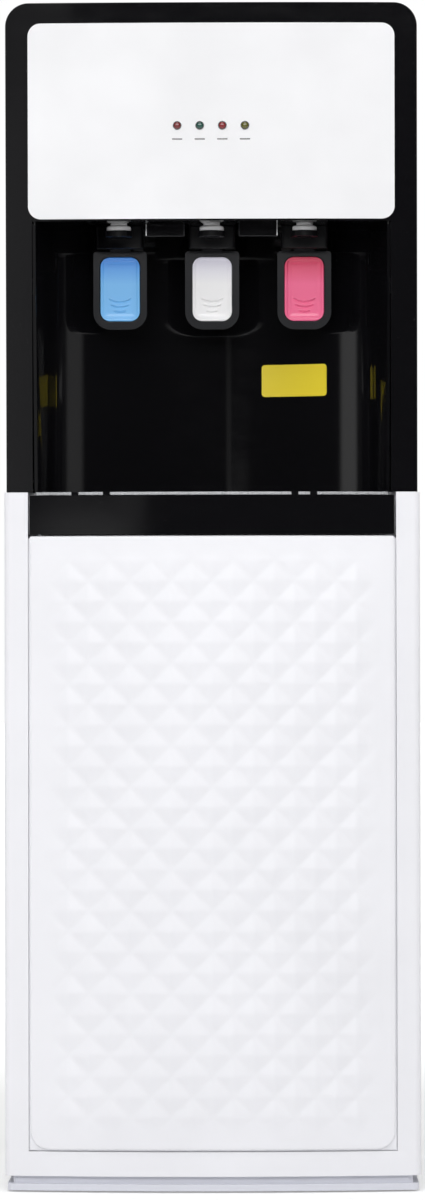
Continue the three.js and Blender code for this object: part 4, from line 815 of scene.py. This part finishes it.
# A coloured pad: a crowned face inside a low rim, with three curved grip ribs.
def makePad(node, plan):
    low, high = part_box(node)
    middle = (low.x + high.x) / 2

    def forward(x, z):
        gap = min(x - low.x, high.x - x, z - low.z, high.z - z) / mm
        dish = -plan["dish"] * min(1, max(0, (gap - plan["rim"]) / plan["slope"])) ** 1.5
        lift = dish + plan["swell"] * math.exp(-((gap - plan["swellAt"]) / plan["slope"]) ** 2)
        across = (x - middle) / mm
        sag = plan["ribRadius"] - math.sqrt(max(0, plan["ribRadius"] ** 2 - across ** 2))
        for up, wide in plan["ribs"]:
            level = (z - low.z) / mm - up - sag
            ends = min(1, max(0, (wide / 2 + plan["ribOver"] - abs(across)) / plan["ribFade"]))
            lift += plan["ribHeight"] * math.exp(-(level / plan["ribWidth"]) ** 2) * ends
        return lift * mm

    radii = [(side, level, plan["corner"] * mm) for side in (-1, 1) for level in (-1, 1)]
    mesh = facedBlock((low.x, low.z), (high.x, high.z), radii, plan["edge"] * mm, middle, low.z,
                      plan["fineness"] * mm, low.y, high.y, forward)
    standIn(node.replace("paddle_pad_", "pad."), turnedOut(mesh, 50), node)


for tap in ("cold", "room", "hot"):
    makePad("paddle_pad_" + tap, pads)
    softened("tap_" + tap, 0.6, [("Z", middleOf("nozzle_" + tap), [11.5 * mm, 7.5 * mm], 0, 360, 48)])
    softened("paddle_" + tap, 0.8, cornerArcs(*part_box("paddle_" + tap), [15 * mm], 15, "lower"), 3)

plainEdges = {
    "front_frame": 1.2, "side_panel_left": 0.4, "side_panel_right": 0.4, "base_plinth": 0.6, "lower_back_panel": 0.3,
    "bay_floor": 0.8, "mid_deck": 0.4, "hinge_bottom": 0.3, "hinge_top": 0.3, "door_liner": 0.6, "strike_plate": 0.2,
    "door_magnet": 0.5, "drip_tray": 0.5, "drip_grille": 0.4, "upper_back_panel": 0.3, "tank_shelf": 0.4,
    "control_box": 0.8, "pump": 0.5, "probe_holder": 0.5, "indicator_board": 0.2, "heater_band": 0.4,
}
for node, width in plainEdges.items():
    piece = softened(node, width)
    # The plinth takes the bluish grey of painted shade in place of its white.
    if node == "base_plinth":
        piece.data.materials[0] = finishes["plinth_white"]
print("edges rounded on", len(plainEdges))


# ---- small round parts ----

# A turned solid about Z. profile is a list of (radius, height), from the axis round to the axis.
def lathed(profile, steps=48):
    turns = [2 * math.pi * k / steps for k in range(steps)]
    vertices, rings = [], []
    for radius, height in profile:
        ring = [(radius * mm * math.cos(a), radius * mm * math.sin(a), height * mm) for a in turns]
        ring = ring if radius else ring[:1]
        rings.append(list(range(len(vertices), len(vertices) + len(ring))))
        vertices += ring
    closed = len(rings[0]) > 1
    faces = []
    for first, second in zip(rings, rings[1:] + (rings[:1] if closed else [])):
        for k in range(steps):
            a, b = first[k % len(first)], first[(k + 1) % len(first)]
            c, d = second[(k + 1) % len(second)], second[k % len(second)]
            faces.append(list(dict.fromkeys((a, b, c, d))))
    return meshFrom("turned", vertices, [f for f in faces if len(f) > 2])


def placed(mesh, place, turn=Matrix.Identity(4)):
    mesh.transform(Matrix.Translation(place) @ turn)
    return mesh


faceBack = Matrix.Rotation(-math.pi / 2, 4, "X")        # turns +Z to +Y
faceFront = Matrix.Rotation(math.pi / 2, 4, "X")        # turns +Z to -Y


# A flat bar with round ends, its long side along X and its face towards +Z.
def roundBar(width, height, thick):
    radius, steps = height / 2, 8
    reach = width / 2 - radius
    points = [(side * reach + radius * math.sin(a) * side, radius * math.cos(a) * side) for side in (1, -1)
              for a in (math.pi * i / steps for i in range(steps + 1))]
    return extrudedUp([(x * mm, y * mm) for x, y in points], 0, thick * mm)


indicator = {
    "lens": 2.9, "dome": 0.95, "proud": 1,      # the lens's radius, how far it domes and stands out
    "ring": [(2.95, -0.3), (2.95, 0.25), (3.15, 0.4), (3.45, 0.4), (3.7, 0.2), (3.75, -0.3)],
    "mark": (9, 1.1, 0.12), "markDrop": 11.6 * mm, "markSunk": 0.02 * mm,
}


# A lamp: a domed lens in a dark ring, and a plain mark below it.
def makeIndicator(name, plan):
    node = "indicator_" + name
    low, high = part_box(node)
    middle, tilt = middleOf(node), Matrix.Rotation(-math.atan(headLean), 4, "X")
    face = Vector((middle.x, low.y + plan["proud"] * mm, middle.z))
    long, radius = (high.y - face.y) / mm, plan["lens"]
    turns = [math.radians(9 * i) for i in range(1, 11)]
    dome = [(radius * math.sin(a), plan["proud"] - plan["dome"] * (1 - math.cos(a))) for a in turns]
    lens = lathed([(0, plan["proud"])] + dome + [(radius, -long), (0, -long)], 40)
    standIn("lens." + name, turnedOut(placed(lens, face, faceFront)), node)
    drop = plan["markDrop"]
    below = face + Vector((0, drop * headLean + plan["markSunk"], -drop))
    parts = {"lampRing.": (lathed(plan["ring"], 40), face), "plainMark.": (roundBar(*plan["mark"]), below)}
    for kind, (mesh, place) in parts.items():
        newPiece(kind + name, turnedOut(placed(mesh, place, tilt @ faceFront)), "front_panel", "gloss_black")


for name in ("power", "hot", "cold", "no_water"):
    makeIndicator(name, indicator)


# A nozzle: a milky neck that flares into a short bowl with a rolled rim.
def makeNozzle(tap):
    node = "nozzle_" + tap
    low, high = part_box(node)
    middle = middleOf(node)
    neck, bore, tall = 7.2, 4.5, (high.z - low.z) / mm
    profile = [(bore, tall), (bore, 6), (5.2, 4.9), (6.2, 4.1), (7.4, 3.7), (9.5, 3.8), (10.3, 4.4), (10.6, 5.4),
               (10.6, 8.2), (10.3, 9.4), (9.2, 10.2), (neck, 10.7), (neck, tall - 0.4), (neck - 0.4, tall)]
    standIn("nozzle." + tap, turnedOut(placed(lathed(profile, 56), (middle.x, middle.y, low.z)), 50), node)


for tap in ("cold", "room", "hot"):
    makeNozzle(tap)


# The two square cups between the nozzles: open below. A thin strip of bright metal on the outer side of each is a
# painted highlight. Dark grey strips on the inner side and below are a dimmer painted highlight.
def makeCup(side):
    name = "left" if side < 0 else "right"
    middle, half, wall, deep = side * 40 * mm, 16 * mm, 0.7 * mm, 18 * mm
    low, high, front = 819.6 * mm, 829.8 * mm, -143 * mm
    shape = [(-half, 0), (half, 0), (half, deep), (half - wall, deep), (half - wall, wall), (-half + wall, wall),
             (-half + wall, deep), (-half, deep)]

    def strip(left, right, bottom, top):
        corners = [(left, front), (right, front), (right, front + wall), (left, front + wall)]
        return extrudedUp([(middle + x, y) for x, y in corners], bottom, top)

    # Painted highlights: the outer strips are bright metal, and the inner strips and the bottom are dark grey.
    outer, inner = (sorted((s * half, s * (half + wall))) for s in (side, -side))
    bottom = strip(-half - wall, half + wall, low - wall, low)
    parts = {
        "cup.": (extrudedUp([(middle + x, front + y) for x, y in shape], low, high), "gloss_black"),
        "cupTrim.": (strip(*outer, low, high), "grille_steel"),
        "cupFoot.": (joinedMesh("cupFoot", strip(*inner, low, high), bottom), "paddle_grey"),
    }
    for kind, (mesh, slot) in parts.items():
        newPiece(kind + name, turnedOut(mesh, 30), "alcove_liner", slot)


for side in (-1, 1):
    makeCup(side)

patchPlan = {
    "middle": (73.5 * mm, 699 * mm), "half": 30.3 * mm, "tall": 14 * mm, "corner": 3 * mm, "step": 2 * mm,
    "border": 1.2 * mm, "borderShare": 0.7, "borderProud": 0.3 * mm, "proud": 0.2 * mm, "sunk": 0.05 * mm,
}


# A plain yellow patch on the alcove's curved wall, with a low border and nothing on it.
def makePatch(plan):
    radius, half, tall, border = alcoveRadius - alcove["inset"], plan["half"], plan["tall"], plan["border"]
    xs, zs = (edgedRun(-reach, reach, 0, plan["step"], border) for reach in (half, tall))
    radii = [(a, b, plan["corner"]) for a in (-1, 1) for b in (-1, 1)]
    vertices = []
    for front in (False, True):
        for z in zs:
            for x in xs:
                newX, newZ = roundedPlace(x, z, (-half, -tall), (half, tall), radii)
                inBorder = min(half - abs(x), tall - abs(z)) < border * plan["borderShare"]
                away = radius - (plan["borderProud" if inBorder else "proud"] if front else -plan["sunk"])
                turn = (plan["middle"][0] + newX) / radius
                vertices.append((away * math.sin(turn), alcoveAxis + away * math.cos(turn), plan["middle"][1] + newZ))
    mesh = turnedOut(meshFrom("plainPatch", vertices, shellFaces(len(xs), len(zs))))
    patch = newPiece("plainPatch", mesh, "alcove_liner", "lamp_yellow")
    patch.data.materials[0] = mouldedPlastic("patchYellow", (0.86, 0.68, 0.025), 0.4)


makePatch(patchPlan)
print("small parts made")


# ---- back ----

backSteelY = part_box("upper_back_panel")[1].y - 1.5 * mm      # the upper back panel's outer face
condenserLow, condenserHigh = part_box("condenser")
tubing = {
    "radius": 2.5 * mm,
    "bend": 0.999,                        # of the widest that fits
    "runs": 10,
    "rise": 405 * mm,                     # from the lowest run to the highest
    "inset": 32 * mm,
    "bottom": condenserLow.z + 12 * mm,
    "riser": 12 * mm,
    "wire": 0.8 * mm,
    "wires": 24,
    "over": 12 * mm,                      # past the runs, at both ends of a wire
    "clear": 7 * mm,
    "tab": (6 * mm, 1.4 * mm, 175 * mm, 164.3 * mm),      # half height, thickness, far side, foot
}


# Fillets a path and sweeps a round tube along it.
def tubeRecipe():
    recipe = Recipe("sweptTube", ("radius", "bend"))
    given = recipe.given
    curve = recipe.node("GeometryNodeMeshToCurve", {"Mesh": given["Geometry"]})
    inputs = {"Curve": curve, "Radius": given["bend"], "Limit Radius": True, "Count": 10}
    path = recipe.node("GeometryNodeFilletCurve", inputs, mode="POLY")
    profile = recipe.node("GeometryNodeCurvePrimitiveCircle", {"Resolution": 14, "Radius": given["radius"]})
    inputs = {"Curve": path, "Profile Curve": profile, "Fill Caps": True}
    recipe.finishWith(recipe.node("GeometryNodeCurveToMesh", inputs), "condenser_black")
    return recipe


# Sets copies of the given mesh's own shape in rows: columns across X and rows up Z.
def rowRecipe(slot):
    recipe = Recipe("rowsOf" + slot, ("across", "columns", "up", "rows"))
    given = recipe.given
    lines = [recipe.node("GeometryNodeMeshLine", {"Count": given[count], "Offset": recipe.vector(*offset)})
             for count, offset in (("columns", (given["across"], 0, 0)), ("rows", (0, 0, given["up"])))]
    grid = recipe.node("GeometryNodeInstanceOnPoints", {"Points": lines[0], "Instance": lines[1]})
    flat = recipe.node("GeometryNodeRealizeInstances", {0: grid})
    copies = recipe.node("GeometryNodeInstanceOnPoints", {"Points": flat, "Instance": given["Geometry"]})
    recipe.finishWith(copies, slot)
    return recipe


def makeCondenser(plan):
    radius, wire, runs, bottom, over = (plan[key] for key in ("radius", "wire", "runs", "bottom", "over"))
    half, top, pitch = cabinetHalf - plan["inset"], condenserHigh.z - radius, plan["rise"] / (runs - 1)
    tubeY, start = condenserHigh.y - 2 * wire - radius, condenserLow.y
    riserX = -half - plan["riser"]
    path = [(riserX, start, top), (riserX, tubeY, top), (riserX, tubeY, bottom)]
    for run in range(runs):
        side = 1 if run % 2 == 0 else -1
        z = bottom + run * pitch
        path.append((side * half, tubeY, z))
        if run < runs - 1:
            path.append((side * half, tubeY, z + pitch))
    path += [(-half, tubeY, top), (-half, start, top)]
    line = bpy.data.meshes.new("condenserPath")
    line.from_pydata(path, [(i, i + 1) for i in range(len(path) - 1)], [])
    parts = [tubeRecipe().run(line, {"radius": radius, "bend": pitch / 2 * plan["bend"]})]
    reach = half - pitch / 2 - plan["clear"]
    gap = 2 * reach / (plan["wires"] - 1)
    long, thick = (plan["rise"] + 2 * over) / mm, wire / mm
    outline = [(thick - 0.15, 0), (thick, 0.15), (thick, long - 0.15), (thick - 0.15, long)]
    rod = lathed([(0, 0), *outline, (0, long)], 10)
    for shift, fewer, y in ((0, 0, condenserHigh.y - wire), (gap / 2, 1, tubeY - radius - wire * 0.8)):
        sizes = {"across": gap, "columns": plan["wires"] - fewer, "up": 0, "rows": 1}
        wires = rowRecipe("condenser_black").run(rod, sizes)
        parts.append(placed(wires, (-reach + shift, y, bottom - over)))
    tall, sheet, far, foot = plan["tab"]
    outer, near = condenserHigh.y - 2 * wire + 0.2 * mm, reach - 6 * mm
    shape = [(near, outer), (far, outer), (far, foot), (far - sheet, foot), (far - sheet, outer - sheet),
             (near, outer - sheet)]
    for side in (-1, 1):
        for run in (1.5, runs - 2.5):
            z = bottom + run * pitch
            parts.append(extrudedUp([(side * x, y) for x, y in shape], z - tall, z + tall))
    standIn("wireTubeCondenser", turnedOut(joinedMesh("wireTubeCondenser", *parts), 40), "condenser")


makeCondenser(tubing)


# A louvre's hood: a scoop over its slot, open below.
def louvreHood(plan):
    across, around, lowest = 40, 8, 0.25             # steps across and round, and the height left at the ends
    vertices = []
    for skin in (0, plan["wall"]):
        for i in range(across + 1):
            u = -1 + 2 * i / across
            ends = (1 - abs(u) ** 8) ** 0.5
            for j in range(around + 1):
                a = math.pi / 2 * j / around
                depth = max(0, plan["out"] * ends - skin) * math.cos(a)
                rise = (plan["tall"] * (lowest + (1 - lowest) * ends) - skin) * math.sin(a)
                vertices.append((u * (plan["width"] / 2 - skin), depth, rise))
    return meshFrom("louvreHood", vertices, shellFaces(around + 1, across + 1))


louvres = {
    "width": 100 * mm, "tall": 7 * mm, "out": 3.2 * mm, "wall": 0.8 * mm, "pitch": 12 * mm, "rows": 7,
    "groups": ((-60 * mm, 672 * mm), (60 * mm, 672 * mm), (0, 800 * mm)),
    "sunk": 0.1 * mm, "above": 0.6 * mm,
}


def makeLouvres(plan):
    rows = []
    for x, z in plan["groups"]:
        sizes = {"across": 0, "columns": 1, "up": plan["pitch"], "rows": plan["rows"]}
        hoods = rowRecipe("black_steel").run(louvreHood(plan), sizes)
        rows.append(placed(hoods, (x, backSteelY - plan["sunk"], z + plan["above"])))
    panel = "upper_back_panel"
    newPiece("louvreHoods", turnedOut(joinedMesh("louvreHoods", *rows), 40), panel, slotOf[panel])


makeLouvres(louvres)


# A pan-head screw with a cross recess.
def screwHead():
    radius, proud, steps = 3.4, 1.9, 24
    recess, inRecess = 0.55, 0.6                     # the cross's depth, and how much of the radius it reaches
    rings = [(0.22, 0.66), (0.34, 0.9), (0.5, 0.97), (0.78, 0.84), (0.94, 0.55), (1, 0.2), (1, -0.25)]
    vertices = [(0, 0, proud * 0.25 * mm)]
    for share, level in rings:
        for k in range(steps):
            a = 2 * math.pi * k / steps
            depth = recess if share < inRecess and k % 6 == 0 else 0
            away = radius * share * mm
            vertices.append((away * math.cos(a), away * math.sin(a), proud * (level - depth) * mm))
    faces = [(0, 1 + k, 1 + (k + 1) % steps) for k in range(steps)]
    last = 1 + (len(rings) - 1) * steps
    for base in range(1, last, steps):
        faces += [(base + k, base + (k + 1) % steps, base + steps + (k + 1) % steps, base + steps + k)
                  for k in range(steps)]
    faces.append([last + k for k in range(steps - 1, -1, -1)])
    return meshFrom("screwHead", vertices, faces)


# Rows of screws on a panel's face. A row is its first screw's place, then spacing and count across, then up, in mm.
def makeScrews(name, panel, face, rows):
    meshes = []
    for x, z, across, columns, up, count in rows:
        head = placed(screwHead(), (0, 0, 0), faceBack)
        sizes = {"across": across * mm, "columns": columns, "up": up * mm, "rows": count}
        meshes.append(placed(rowRecipe("zinc_steel").run(head, sizes), (x * mm, face, z * mm)))
    newPiece(name, turnedOut(joinedMesh(name, *meshes), 40), panel, "zinc_steel")


makeScrews("upperBackScrews", "upper_back_panel", backSteelY,
           [(-164, 612, 328, 2, 121, 4), (-90, 1003, 90, 3, 0, 1)])
makeScrews("lowerBackScrews", "lower_back_panel", 162.9 * mm, [(-167, 60, 334, 2, 166.6, 4)])


# The cord's gland: a flange on the panel and a tapered sleeve.
gland = [(4.2, -6), (7.6, -6), (7.6, 0.1), (9.6, 0.1), (10, 0.5), (10, 3.4), (9.2, 4.2), (7.6, 8.3), (6.8, 9),
         (4.8, 9), (4.2, 8.4)]
place = middleOf("cord_gland")
place.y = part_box("cord_gland")[1].y - 9 * mm
standIn("cordGland", turnedOut(placed(lathed(gland), place, faceBack)), "cord_gland")
print("back made")
